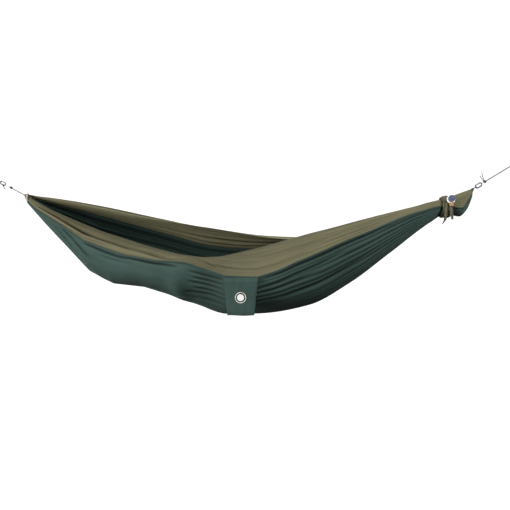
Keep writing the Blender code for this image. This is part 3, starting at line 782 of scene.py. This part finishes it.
def near_shape(height, wide):
    """The slumped left part: a valley along the strip and a rolled ridge beside the seam."""
    down = share[None, :]
    valley = np.interp(xs, (0.25, 0.57, 0.90, 1.12), (0.52, 0.62, 0.68, 0.82))[:, None]
    there = (bump((xs - 0.22) / 0.12) * bump((1.17 - xs) / 0.28))[:, None]
    height -= there * np.minimum(0.066, 0.32 * wide) * np.exp(-((down - valley) / 0.080) ** 2)
    height += there * np.minimum(0.020, 0.09 * wide) * np.exp(-((down - valley - 0.20) / 0.07) ** 2)
    height -= there * np.minimum(0.010, 0.05 * wide) * np.exp(-((down - 0.22) / 0.04) ** 2)
    for x0, f0, x1, f1, wide_part, depth in (
        (1.22, 0.58, 1.34, 0.80, 0.010, -0.014), (1.26, 0.40, 1.42, 0.56, 0.010, -0.013),
        (1.20, 0.30, 1.38, 0.36, 0.010, -0.011), (1.30, 0.70, 1.46, 0.76, 0.010, -0.011),
        (1.45, 0.30, 2.60, 0.50, 0.018, -0.020), (1.60, 0.52, 2.50, 0.58, 0.015, -0.017),
        (1.70, 0.16, 2.55, 0.28, 0.015, -0.016), (1.95, 0.74, 2.60, 0.74, 0.013, -0.014),
        (1.40, 0.80, 1.90, 0.84, 0.010, -0.008), (2.05, 0.40, 2.62, 0.36, 0.009, -0.012),
    ):
        crease(height, xs, down, x0, f0, x1, f1, wide_part, depth)


def far_shape(height, wide):
    """Long dark folds between lit strips."""
    down = share[None, :]
    for f0, f1, wide_part, depth in (
        (0.30, 0.27, 0.012, 0.016), (0.52, 0.46, 0.014, 0.026), (0.78, 0.72, 0.012, 0.024),
        (0.16, 0.15, 0.010, -0.008), (0.41, 0.36, 0.011, -0.012), (0.66, 0.60, 0.013, -0.014),
    ):
        crease(height, xs, down, 0.24, f0, 1.90, f1, wide_part, depth)


near_side, near_points = side_cloth("near_side_cloth", near_hem, near_seam, 1.0, 21, (0.20, 0.55), near_shape)
far_side, far_points = side_cloth("far_side_cloth", far_hem, far_seam, -1.0, 22, (1.1, 0.9), far_shape)
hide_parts("near_side_panel")
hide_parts("far_side_panel")

# %% [markdown]
# ## Seams and hems
# A hem is the cloth's edge rolled over and stitched; a seam is two edges folded into each
# other and stitched twice. Both read as a narrow flat band. We sweep a small rounded
# rectangle along the edge of the panel's own points, so that the band lies on the cloth.
# %% Bands along the edges


def edge_band(name, edge, inward, wide, thick, shift):
    """A flat band along an edge: wide across the cloth, and shifted inwards from the edge."""
    ahead = np.gradient(edge, axis=0)
    ahead /= np.linalg.norm(ahead, axis=1)[:, None]
    inward = inward - ahead * (inward * ahead).sum(axis=1)[:, None]
    inward /= np.linalg.norm(inward, axis=1)[:, None]
    out = np.cross(ahead, inward)
    loop = [(-0.5, 0.0), (-0.46, 0.42), (-0.30, 0.5), (0.30, 0.5), (0.46, 0.42),
            (0.5, 0.0), (0.46, -0.42), (0.30, -0.5), (-0.30, -0.5), (-0.46, -0.42)]
    run = np.concatenate([[0], np.cumsum(np.linalg.norm(np.diff(edge, axis=0), axis=1))])
    narrow = np.clip(np.minimum(run, run[-1] - run) / 0.20, 0.45, 1.0)
    points = np.stack([
        edge + inward * ((a * wide + shift) * narrow)[:, None] + out * (b * thick) for a, b in loop
    ], axis=1)
    sides = len(loop)
    made = build(name, points.reshape(-1, 3), tube_faces(len(edge), sides))
    across = np.array([a * wide for a, _ in loop])
    lay_flat(made, np.column_stack([np.repeat(run, sides), np.tile(across, len(edge))]))
    return made


hem_near = edge_band("near_rolled_hem", near_points[:, 0], near_points[:, 4] - near_points[:, 0],
                     0.011, 0.0024, 0.0045)
hem_far = edge_band("far_rolled_hem", far_points[:, 0], far_points[:, 4] - far_points[:, 0],
                    0.011, 0.0024, 0.0045)
seam_near = edge_band("near_flat_felled_seam", near_points[:, -1], centre_points[:, 3] - near_points[:, -4],
                      0.010, 0.0026, 0.0)
seam_far = edge_band("far_flat_felled_seam", far_points[:, -1], centre_points[:, -4] - far_points[:, -4],
                     0.010, 0.0026, 0.0)
bands = {"near_hem": hem_near, "far_hem": hem_far, "near_seam": seam_near, "far_seam": seam_far}
for node, piece in bands.items():
    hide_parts(node)
print("bands:", hem_near.name, hem_far.name, seam_near.name, seam_far.name)

# %% [markdown]
# ## Gathered ends
# At each end the whole width is folded like a fan, rolled into a channel and choked by twine,
# so what shows is a short fluted cone. We loft rings with a star-shaped outline, whose flutes
# grow shallow towards the cord, and wind real twine round the neck.
# %% Fluted bunches and left whipping


def fluted(name, stations, flutes, depth, seed):
    """A bunch of folded cloth: (x, middle y, middle z, half width, half height) stations."""
    rows = np.array(stations)
    source = np.random.default_rng(seed)
    rings, sides = 26, 96
    turns = np.linspace(0, 2 * math.pi, sides, endpoint=False)
    lean = source.uniform(0, 2 * math.pi, flutes)
    even = np.linspace(rows[0, 0], rows[-1, 0], rings)
    points = []
    for i, x in enumerate(even):
        y, z, wide, tall = (np.interp(x, rows[:, 0], rows[:, k]) for k in range(1, 5))
        phase = 0.5 * flutes * turns + 0.35 * np.sin(3 * turns + lean[0]) + 0.2 * i / rings
        wave = np.abs(np.sin(phase)) ** 0.7
        wave *= 0.75 + 0.25 * np.sin(2 * turns + lean[1])
        r = 1 - depth * (1 - wave)
        points += [(x, y + wide * k * math.cos(a), z + tall * k * math.sin(a)) for a, k in zip(turns, r)]
    made = build(name, points, tube_faces(rings, sides))
    lay_flat(made, np.column_stack([np.array(points)[:, 0], np.tile(turns * 0.05, rings)]))
    return made


left_bunch = fluted("left_bunched_channel", (
    (0.1862, 0.0, -0.1030, 0.0040, 0.0046), (0.1900, 0.0, -0.1060, 0.0085, 0.0100),
    (0.1960, 0.0, -0.1140, 0.0140, 0.0170), (0.2040, 0.0, -0.1205, 0.0185, 0.0240),
    (0.2110, 0.0, -0.1215, 0.0195, 0.0252),
), 17, 0.22, 5)
right_bunch = fluted("right_bunched_channel", (
    (2.8380, 0.0, -0.0850, 0.0140, 0.0215), (2.8440, 0.0, -0.0790, 0.0125, 0.0185),
    (2.8500, 0.0, -0.0715, 0.0100, 0.0130), (2.8560, 0.0, -0.0635, 0.0055, 0.0060),
), 15, 0.22, 6)
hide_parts("left_end_channel")
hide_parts("right_end_channel")

twine_route = []
for i in range(5 * 40 + 1):
    a = 2 * math.pi * i / 40
    twine_route.append((0.2042 + 0.0009 * i / 40 + 0.0004 * math.sin(3 * a), 0.0213 * math.cos(a),
                        -0.1214 + 0.0275 * math.sin(a)))
left_twine = sweep_tube("left_end_whipping", twine_route, 0.0009, strands=3, relief=0.12, pitch=0.004,
                        sides=10)
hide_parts("left_whipping")
print("bunches:", left_bunch.name, right_bunch.name, "twine", round(route_length(twine_route), 3))

# %% [markdown]
# The right end is tied off a second time: a strip of the khaki cloth is wound round the neck
# and knotted, and its two ends hang down. The strip crumples as it is pulled tight, so each
# turn is a fat tube of cloth with a ruffled outline, and the ends are curled ribbons.
# %% Ruffled tie and its tails


def ruffled_turn(name, x, middle, half, fat, lean, seed, count=220, sides=26):
    """One turn of crumpled cloth round the neck."""
    source = np.random.default_rng(seed)
    shift = source.uniform(0, 2 * math.pi, 4)
    points, ruffle_painted_shade = [], []
    for i in range(count):
        a = 2 * math.pi * i / count
        swell = 1 + 0.10 * math.sin(3 * a + shift[0]) + 0.07 * math.sin(7 * a + shift[1])
        for k in range(sides):
            b = 2 * math.pi * k / sides
            fold = 0.34 * abs(math.sin(2.5 * b + a + shift[2]))
            fold += 0.08 * math.sin(23 * a + 2 * math.sin(b) + shift[3])
            r = swell * (1 - 0.13 + fold)
            out = fat[1] * r * math.cos(b)
            along = fat[0] * r * math.sin(b)
            # painted shade: the deeper a point lies in a ruffle fold, the darker the finish makes it
            ruffle_painted_shade.append(min(1.0, max(0.0, 1.05 - 5.0 * fold)))
            points.append((x + along + lean * math.sin(a) + 0.0015 * math.sin(5 * a + shift[0]),
                           (half[0] + out) * math.cos(a), middle + (half[1] + out) * math.sin(a)))
    faces = []
    for i in range(count):
        for k in range(sides):
            n, m = (i + 1) % count, (k + 1) % sides
            faces.append((i * sides + k, n * sides + k, n * sides + m, i * sides + m))
    made = build(name, points, faces)
    lay_flat(made, [(0.42 * i / count, 0.06 * k / sides) for i in range(count) for k in range(sides)])
    mark_painted_shade(made, ruffle_painted_shade)
    return made


turns_of_cloth = [
    ruffled_turn("tie_turn_a", 2.6720, -0.1745, (0.0635, 0.0560), (0.0150, 0.0070), 0.004, 1),
    ruffled_turn("tie_turn_b", 2.6900, -0.1720, (0.0640, 0.0575), (0.0140, 0.0072), -0.005, 2),
    ruffled_turn("tie_turn_c", 2.7050, -0.1690, (0.0620, 0.0560), (0.0120, 0.0066), 0.003, 3),
]
tie = joined("right_ruffled_tie", turns_of_cloth)
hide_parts("right_wrap")


def ribbon(name, stations, curl, seed, rows=60, columns=15):
    """A loose end of cloth: (x, y, z, width) stations, curled across and waved along."""
    marks = np.array(stations)
    spine = eased(marks[:, :3], rows)
    wide = np.interp(np.linspace(0, 1, rows), np.linspace(0, 1, len(marks)), marks[:, 3])
    across = np.linspace(-0.5, 0.5, columns)
    wave = wander(rows, 7, seed)
    points = np.zeros((rows, columns, 3))
    # painted shade: the part of the ribbon that is curled back is marked for the finish to darken
    shade = np.clip(0.25 - 1.1 * np.cos(2 * math.pi * across[None, :] * 1.3 + 2.0 * wave[:, None]), 0, 1)
    for i in range(rows):
        fold = curl * (np.cos(2 * math.pi * across * 1.3 + 2.0 * wave[i]) - 0.4) * wide[i]
        points[i, :, 0] = spine[i, 0] + across * wide[i]
        points[i, :, 1] = spine[i, 1] - fold * 0.5
        points[i, :, 2] = spine[i, 2] + 0.05 * wide[i] * np.sin(6 * across + wave[i] * 3)
    made = lay_cloth(name, points, float(wide.max()))
    mark_painted_shade(made, shade)
    return made


tail_long = ribbon("tie_tail_long", (
    (2.6740, -0.0735, -0.1500, 0.020), (2.6720, -0.0760, -0.1850, 0.025), (2.6700, -0.0770, -0.2200, 0.023),
    (2.6660, -0.0765, -0.2500, 0.016), (2.6510, -0.0760, -0.2740, 0.006),
), 0.20, 31)
tail_short = ribbon("tie_tail_short", (
    (2.6990, -0.0735, -0.1600, 0.020), (2.7020, -0.0760, -0.1900, 0.025), (2.7050, -0.0770, -0.2200, 0.019),
    (2.7100, -0.0765, -0.2480, 0.011),
), 0.20, 32)
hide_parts("wrap_tail_long")
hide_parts("wrap_tail_short")
print("tie:", tie.name, len(tie.data.polygons), "faces")

# %% [markdown]
# A flat round button holds the tie, with a small tan tab under it. The button is turned: a
# dished face in a pale rim. A bead of shadow between the two parts needs a real step.
# %% Button and tab
rim = revolve("tie_button_rim_ring", (
    (-0.0002, 0.0225), (0.0000, 0.0246), (0.0012, 0.0250), (0.0022, 0.0246), (0.0030, 0.0232), (0.0027, 0.0214),
    (0.0024, 0.0100), (0.0024, 0.0005),
), (2.6985, -0.0792, -0.1305), (0, -1, 0), 72)
face = revolve("tie_button_face_disc", (
    (0.0000, 0.0190), (0.0010, 0.0199), (0.0024, 0.0200), (0.0034, 0.0190), (0.0037, 0.0172), (0.0032, 0.0150),
    (0.0030, 0.0090), (0.0036, 0.0050), (0.0040, 0.0004),
), (2.7030, -0.0826, -0.1250), (0, -1, 0), 72)
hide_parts("wrap_button_rim")
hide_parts("wrap_button")
tab = ribbon("tie_button_leather_tab", (
    (2.7000, -0.0830, -0.1480, 0.024), (2.7010, -0.0835, -0.1600, 0.027), (2.7020, -0.0830, -0.1690, 0.022),
), 0.05, 33, rows=24)
tab.modifiers["cloth_thickness"].thickness = 0.0022
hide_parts("wrap_button_tab")
print("button parts:", rim.name, face.name, tab.name)

# %% [markdown]
# ## Pocket
# A flat pouch hangs from the near seam; the folded hammock packs into it. It is one loop
# of cloth with a closed bottom. The cross-section is a thin lens, so the front
# bellies a little and the side edges stay sharp, and a stitched band finishes the mouth.
# %% Pouch, mouth band and patch
POCKET_LEFT, POCKET_RIGHT, POCKET_TAPER = 1.385, 1.573, 0.021
POCKET_TOP, POCKET_BOTTOM = -0.5725, -0.7720
POCKET_MIDDLE_Y = -0.3850
POCKET_AROUND, POCKET_LEVELS = 96, 60


def pouch_ring(z, grow):
    """One level of the pouch: front from left to right, then the back again."""
    fall = (POCKET_TOP - z) / (POCKET_TOP - POCKET_BOTTOM)
    left = POCKET_LEFT + POCKET_TAPER * fall - grow
    right = POCKET_RIGHT - POCKET_TAPER * fall + grow
    full = 0.0032 + 0.0036 * math.sin(math.pi * min(1.0, 0.12 + 0.88 * fall)) ** 0.8
    full *= 1 - bump((fall - 0.90) / 0.10) * 0.72
    ring = []
    for k in range(POCKET_AROUND):
        part = 2 * k / POCKET_AROUND
        front_side = part < 1
        s = part if front_side else 2 - part
        lens = (1 - abs(2 * s - 1) ** 3.0) ** 0.6
        x = left + (right - left) * s
        fold = 0.0011 * math.sin(23 * s + 5 * fall) * math.sin(math.pi * s) * (1 - 0.5 * fall)
        fold += 0.0013 * math.sin(9 * s - 11 * fall + 0.6)
        y = POCKET_MIDDLE_Y + (-1 if front_side else 1) * (full * lens + grow)
        y += fold * lens * (1 if front_side else 0.3)
        sway = 0.0016 * math.sin(2.2 * math.pi * s + 0.5) * fall
        ring.append((x, y, z + sway))
    return ring


def pouch():
    count = POCKET_AROUND
    points = [p for z in np.linspace(POCKET_TOP, POCKET_BOTTOM, POCKET_LEVELS) for p in pouch_ring(z, 0.0)]
    faces = grid_faces(POCKET_LEVELS, count, ring=True)
    base = (POCKET_LEVELS - 1) * count
    faces += [(base + k, base + k + 1, base + count - k - 1, base + (count - k) % count)
              for k in range(1, count // 2 - 1)]
    made = build("pocket_pouch", points, faces)
    lay_flat(made, np.array(points)[:, [0, 2]])
    return thicken(made, 0.0009)


pocket = pouch()
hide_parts("pocket_bag")
BAND_OUTER, BAND_INNER = (-0.5870, -0.5866, -0.5780, -0.5700, -0.5672, -0.5660), (-0.5664, -0.5720)
band_levels = [np.array(pouch_ring(z, 0.0013)) for z in BAND_OUTER]
band_levels += [np.array(pouch_ring(z, -0.0006)) for z in BAND_INNER]
mouth_points = np.vstack(band_levels)
mouth = build("pocket_mouth_band", mouth_points, grid_faces(len(band_levels), POCKET_AROUND, ring=True))
lay_flat(mouth, np.column_stack([mouth_points[:, 0], mouth_points[:, 2] + 0.5775]))
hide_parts("pocket_hinge_hem")
PATCH_AT = (1.478, -0.3930, -0.6740)
ring_part = revolve("patch_ring", (
    (0.0, 0.0262), (0.0, 0.0298), (0.0008, 0.0300), (0.0014, 0.0294), (0.0015, 0.0280), (0.0013, 0.0266),
    (0.0, 0.0262),
), PATCH_AT, (0, -1, 0), 72)
disc_part = revolve("patch_disc", (
    (0.0, 0.0190), (0.0009, 0.0190), (0.0014, 0.0182), (0.0015, 0.0160), (0.0013, 0.0080), (0.0013, 0.0004),
), PATCH_AT, (0, -1, 0), 72)
patch = joined("pocket_round_patch", [ring_part, disc_part])
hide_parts("pocket_badge")
print("pocket:", pocket.name, mouth.name, patch.name)

# %% [markdown]
# ## Finishes
# A finish is a small net of nodes, and a few steps come back in each of them: a noise, a
# sum, a ramp between two tones, a bump. Each step gets a short helper first.
# %% Node helpers


def start_finish(name, rough, **sockets):
    made = bpy.data.materials.new(name)
    made.use_nodes = True
    shader = made.node_tree.nodes["Principled BSDF"]
    shader.inputs["Roughness"].default_value = rough
    for socket, value in sockets.items():
        shader.inputs[socket.replace("_", " ").title().replace("Ior", "IOR")].default_value = value
    return made, made.node_tree, shader


def add(tree, kind, values=None, **settings):
    made = tree.nodes.new(kind)
    for key, value in settings.items():
        setattr(made, key, value)
    for key, value in (values or {}).items():
        if hasattr(value, "is_output"):
            tree.links.new(value, made.inputs[key])
        else:
            made.inputs[key].default_value = value
    return made


def tones(tree, factor, low, high, positions=(0.3, 0.7)):
    """A ramp between two colours."""
    ramp = add(tree, "ShaderNodeValToRGB", {"Fac": factor})
    for mark, place, colour in zip(ramp.color_ramp.elements, positions, (low, high)):
        mark.position = place
        mark.color = (*colour, 1.0)
    return ramp.outputs["Color"]


def scaled(colour, by):
    return tuple(min(1.0, c * by) for c in colour)


def noise(tree, place, scale, detail=4.0, rough=0.5):
    values = {"Vector": place, "Scale": scale, "Detail": detail, "Roughness": rough}
    return add(tree, "ShaderNodeTexNoise", values).outputs["Fac"]


def maths(tree, operation, *numbers):
    return add(tree, "ShaderNodeMath", dict(enumerate(numbers)), operation=operation).outputs[0]


def relief(tree, height, strength, distance, onto=None):
    """A bump in the surface, laid over the one in onto."""
    values = {"Strength": strength, "Distance": distance, "Height": height}
    if onto is not None:
        values["Normal"] = onto
    return add(tree, "ShaderNodeBump", values).outputs["Normal"]


print("node helpers ready")

# %% [markdown]
# Thin nylon is nearly matt, with a soft sheen where it turns away, a very fine plain weave
# and countless small crinkles that run with the threads. We make one cloth finish as a
# function of its colour: a stretched noise gives the crinkles, two wave patterns the weave,
# and broad patches of slightly different tone keep large panels from looking printed. The
# marked fold depth darkens the colour, as painted shade in the folds. The far khaki panel
# has light coming through it, so it gets a lighter khaki of its own.
# %% Cloth finish
STITCH_PITCH, STITCH_LONG, THREAD_HALF = 0.0042, 0.0029, 0.00045


def stitch_mask(tree, flat, rows):
    """1 on the thread of each row of stitches, 0 on the cloth between."""
    place = add(tree, "ShaderNodeSeparateXYZ", {"Vector": flat})
    on = maths(tree, "LESS_THAN", maths(tree, "MODULO", place.outputs["X"], STITCH_PITCH), STITCH_LONG)
    total = None
    for row in rows:
        away = maths(tree, "ABSOLUTE", maths(tree, "SUBTRACT", place.outputs["Y"], row))
        hit = maths(tree, "MULTIPLY", maths(tree, "LESS_THAN", away, THREAD_HALF), on)
        total = hit if total is None else maths(tree, "MAXIMUM", total, hit)
    return total


def cloth_finish(name, colour, rough=0.80, crinkle=0.0016, stitches=()):
    made, tree, shader = start_finish(name, rough, sheen_weight=0.02, sheen_roughness=0.45,
                                      specular_ior_level=0.15)
    flat = add(tree, "ShaderNodeUVMap", uv_map="flat_cloth").outputs["UV"]
    stretched = add(tree, "ShaderNodeMapping", {"Vector": flat, "Scale": (0.32, 1.0, 1.0)}).outputs["Vector"]
    patches = noise(tree, stretched, 7.0, rough=0.6)
    # painted shade: the marked fold depth darkens the colour, to 0.36 of it at the bottom of a fold
    fold = add(tree, "ShaderNodeAttribute", attribute_name="fold_painted_shade").outputs["Fac"]
    shade = add(tree, "ShaderNodeMapRange", {"Value": fold, "To Min": 1.0, "To Max": 0.36})
    darker = add(tree, "ShaderNodeMix", {"Factor": 1.0}, data_type="RGBA", blend_type="MULTIPLY")
    tree.links.new(tones(tree, patches, scaled(colour, 0.84), scaled(colour, 1.14)), darker.inputs[6])
    tree.links.new(shade.outputs["Result"], darker.inputs[7])
    colour_out = darker.outputs[2]
    surface = relief(tree, noise(tree, stretched, 32.0, rough=0.6), 0.5, crinkle)
    warp, weft = (
        add(tree, "ShaderNodeTexWave", {"Vector": flat, "Scale": 260.0}, bands_direction=way).outputs["Fac"]
        for way in "XY"
    )
    surface = relief(tree, maths(tree, "ADD", warp, weft), 0.35, 0.00012, surface)
    if stitches:
        thread = stitch_mask(tree, flat, stitches)
        mix = add(tree, "ShaderNodeMix", {"Factor": thread}, data_type="RGBA")
        tree.links.new(colour_out, mix.inputs[6])
        mix.inputs[7].default_value = (*scaled(colour, 2.2), 1.0)
        colour_out = mix.outputs[2]
        surface = relief(tree, thread, 0.8, 0.0004, surface)
    tree.links.new(colour_out, shader.inputs["Base Color"])
    tree.links.new(surface, shader.inputs["Normal"])
    return made


GREEN, KHAKI = (0.040, 0.071, 0.061), (0.128, 0.119, 0.069)
green_cloth = cloth_finish("green_parachute_cloth", GREEN)
khaki_cloth = cloth_finish("khaki_parachute_cloth", KHAKI)
# painted shade: the seam bands get the green cloth at 0.62 of its colour, darker than the cloth around them
green_binding = cloth_finish("green_seam_painted_shade", scaled(GREEN, 0.62), 0.66, 0.0006, (-0.003, 0.003))
far_khaki = cloth_finish("khaki_cloth_lit_through", scaled(KHAKI, 1.85))
crumpled_khaki = cloth_finish("khaki_crumpled_cloth", scaled(KHAKI, 1.05), crinkle=0.0030)
khaki_hem = cloth_finish("khaki_stitched_hem", scaled(KHAKI, 1.05), 0.66, 0.0006, (-0.003, 0.003))
pocket_cloth = cloth_finish("pocket_parachute_cloth", scaled(GREEN, 0.92), 0.80, 0.0010)
pocket_band = cloth_finish("pocket_stitched_band", GREEN, 0.80, 0.0005, (-0.0068,))
print("cloth finishes:", [m.name for m in bpy.data.materials if "cloth" in m.name])

# %% [markdown]
# Rope is dull and slightly furry; each strand catches a little light. Steel hooks are
# anodised blue-grey, brushed along the rod, with brighter metal where rings have rubbed.
# %% Rope, twine, steel, button and leather finishes


def rope_finish(name, colour, fibre=900.0):
    made, tree, shader = start_finish(name, 0.82, sheen_weight=0.15, sheen_roughness=0.5)
    place = add(tree, "ShaderNodeTexCoord").outputs["Object"]
    hairs = noise(tree, place, fibre, 3.0)
    both = maths(tree, "MULTIPLY", hairs, noise(tree, place, 60.0))
    tree.links.new(tones(tree, both, scaled(colour, 0.62), scaled(colour, 1.35), (0.12, 0.40)),
                   shader.inputs["Base Color"])
    tree.links.new(relief(tree, hairs, 0.6, 0.0003), shader.inputs["Normal"])
    return made


def metal_finish(name, colour, rough, worn_colour, metallic=1.0, grain=420.0):
    made, tree, shader = start_finish(name, rough, metallic=metallic)
    place = add(tree, "ShaderNodeTexCoord").outputs["Object"]
    stretched = add(tree, "ShaderNodeMapping", {"Vector": place, "Scale": (0.15, 1.0, 1.0)}).outputs["Vector"]
    brushed = noise(tree, stretched, grain * 3)
    wear = noise(tree, place, 150.0, 5.0, 0.7)
    tree.links.new(tones(tree, wear, colour, worn_colour, (0.52, 0.74)), shader.inputs["Base Color"])
    limits = {"Value": brushed, "To Min": rough - 0.07, "To Max": rough + 0.12}
    tree.links.new(add(tree, "ShaderNodeMapRange", limits).outputs["Result"], shader.inputs["Roughness"])
    tree.links.new(relief(tree, brushed, 0.25, 0.0001), shader.inputs["Normal"])
    return made


grey_rope = rope_finish("light_grey_braid", (0.38, 0.38, 0.36))
dark_rope = rope_finish("dark_grey_braid", (0.050, 0.050, 0.048))
thin_cord = rope_finish("pale_thin_cord", (0.52, 0.52, 0.48), 1400.0)
pale_thread = rope_finish("pale_whipping_twine", (0.50, 0.50, 0.43), 1600.0)
hook_steel = metal_finish("blue_grey_anodised_hook", (0.022, 0.036, 0.044), 0.34, (0.15, 0.19, 0.20), 0.8)
plate_steel = metal_finish("zinc_plated_plate", (0.42, 0.43, 0.44), 0.42, (0.55, 0.55, 0.54))
screw_steel = metal_finish("zinc_plated_screw", (0.48, 0.47, 0.44), 0.36, (0.60, 0.59, 0.56))
button_face = metal_finish("slate_blue_satin_plastic", (0.055, 0.070, 0.150), 0.42, (0.075, 0.090, 0.175),
                           0.0, 200.0)
button_rim = metal_finish("off_white_satin_plastic", (0.72, 0.72, 0.68), 0.46, (0.66, 0.65, 0.60), 0.0, 200.0)
tan_tab = metal_finish("tan_leather", (0.34, 0.19, 0.085), 0.62, (0.42, 0.26, 0.13), 0.0, 120.0)
badge = metal_finish("off_white_print", (0.74, 0.74, 0.70), 0.60, (0.64, 0.64, 0.60), 0.0, 160.0)
print("finishes made:", len(bpy.data.materials))

# %% [markdown]
# ## Putting it together
# Now every piece gets its finish, the body that it moves with, and the finish slot that it
# belongs to. The wall plates and their screws are simple enough to keep the plain model's
# shapes, so they only get a finish.
# %% Finish, body and slot of each piece
made_pieces = (
    (centre, green_cloth, "hammock", "green_cloth"),
    (near_side, khaki_cloth, "hammock", "khaki_cloth"),
    (far_side, far_khaki, "hammock", "khaki_cloth"),
    (seam_near, green_binding, "hammock", "green_binding"),
    (seam_far, green_binding, "hammock", "green_binding"),
    (hem_near, khaki_hem, "hammock", "khaki_hem"),
    (hem_far, khaki_hem, "hammock", "khaki_hem"),
    (left_bunch, khaki_cloth, "hammock", "khaki_cloth"),
    (right_bunch, green_cloth, "hammock", "green_cloth"),
    (left_twine, pale_thread, "hammock", "pale_thread"),
    (tie, crumpled_khaki, "hammock", "khaki_cloth"),
    (tail_long, crumpled_khaki, "hammock", "khaki_cloth"),
    (tail_short, crumpled_khaki, "hammock", "khaki_cloth"),
    (rim, button_rim, "hammock", "button_rim"),
    (face, button_face, "hammock", "button_face"),
    (tab, tan_tab, "hammock", "tan_tab"),
    (left_sling, grey_rope, "hammock", "grey_rope"),
    (sling_twine, grey_rope, "hammock", "grey_rope"),
    (left_link, thin_cord, "hammock", "thin_cord"),
    (left_cord, dark_rope, "hammock", "dark_rope"),
    (left_knot, dark_rope, "hammock", "dark_rope"),
    (left_hitch, dark_rope, "hammock", "dark_rope"),
    (bpy.data.objects["left_tail_down"], dark_rope, "hammock", "dark_rope"),
    (right_end_loop, dark_rope, "hammock", "green_cloth"),
    (right_hook_loop, thin_cord, "hammock", "thin_cord"),
    (right_knot, dark_rope, "hammock", "dark_rope"),
    (right_rope, dark_rope, "hammock", "dark_rope"),
    (splice_twine, dark_rope, "hammock", "dark_rope"),
    (bpy.data.objects["right_tail_up"], dark_rope, "hammock", "dark_rope"),
    (bpy.data.objects["right_tail_back"], dark_rope, "hammock", "dark_rope"),
    (left_hook, hook_steel, "hammock", "hook_steel"),
    (right_hook, hook_steel, "hammock", "hook_steel"),
    (left_gate, hook_steel, "left_gate", "hook_steel"),
    (right_gate, hook_steel, "right_gate", "hook_steel"),
    (pocket, pocket_cloth, "pocket", "pocket_cloth"),
    (mouth, pocket_band, "pocket", "pocket_cloth"),
    (patch, badge, "pocket", "badge"),
)
for piece, finish, body, slot in made_pieces:
    piece.data.materials.clear()
    piece.data.materials.append(finish)
    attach(piece, body)
for name, node in nodes.items():
    if "eye_plate" in name or "plate_screw" in name:
        for place in node.material_slots:
            place.link = "OBJECT"
            place.material = plate_steel if "eye_plate" in name else screw_steel
print("pieces:", len(made_pieces))

# %% [markdown]
# ## Facts about the soft pieces
# A cord has a real length and a cloth a cut size. The side strips are stated as wide as
# they are modelled.
# %% Declare cords and sheets
for name in ("right_tail_up", "right_tail_back"):
    route = tails[name]
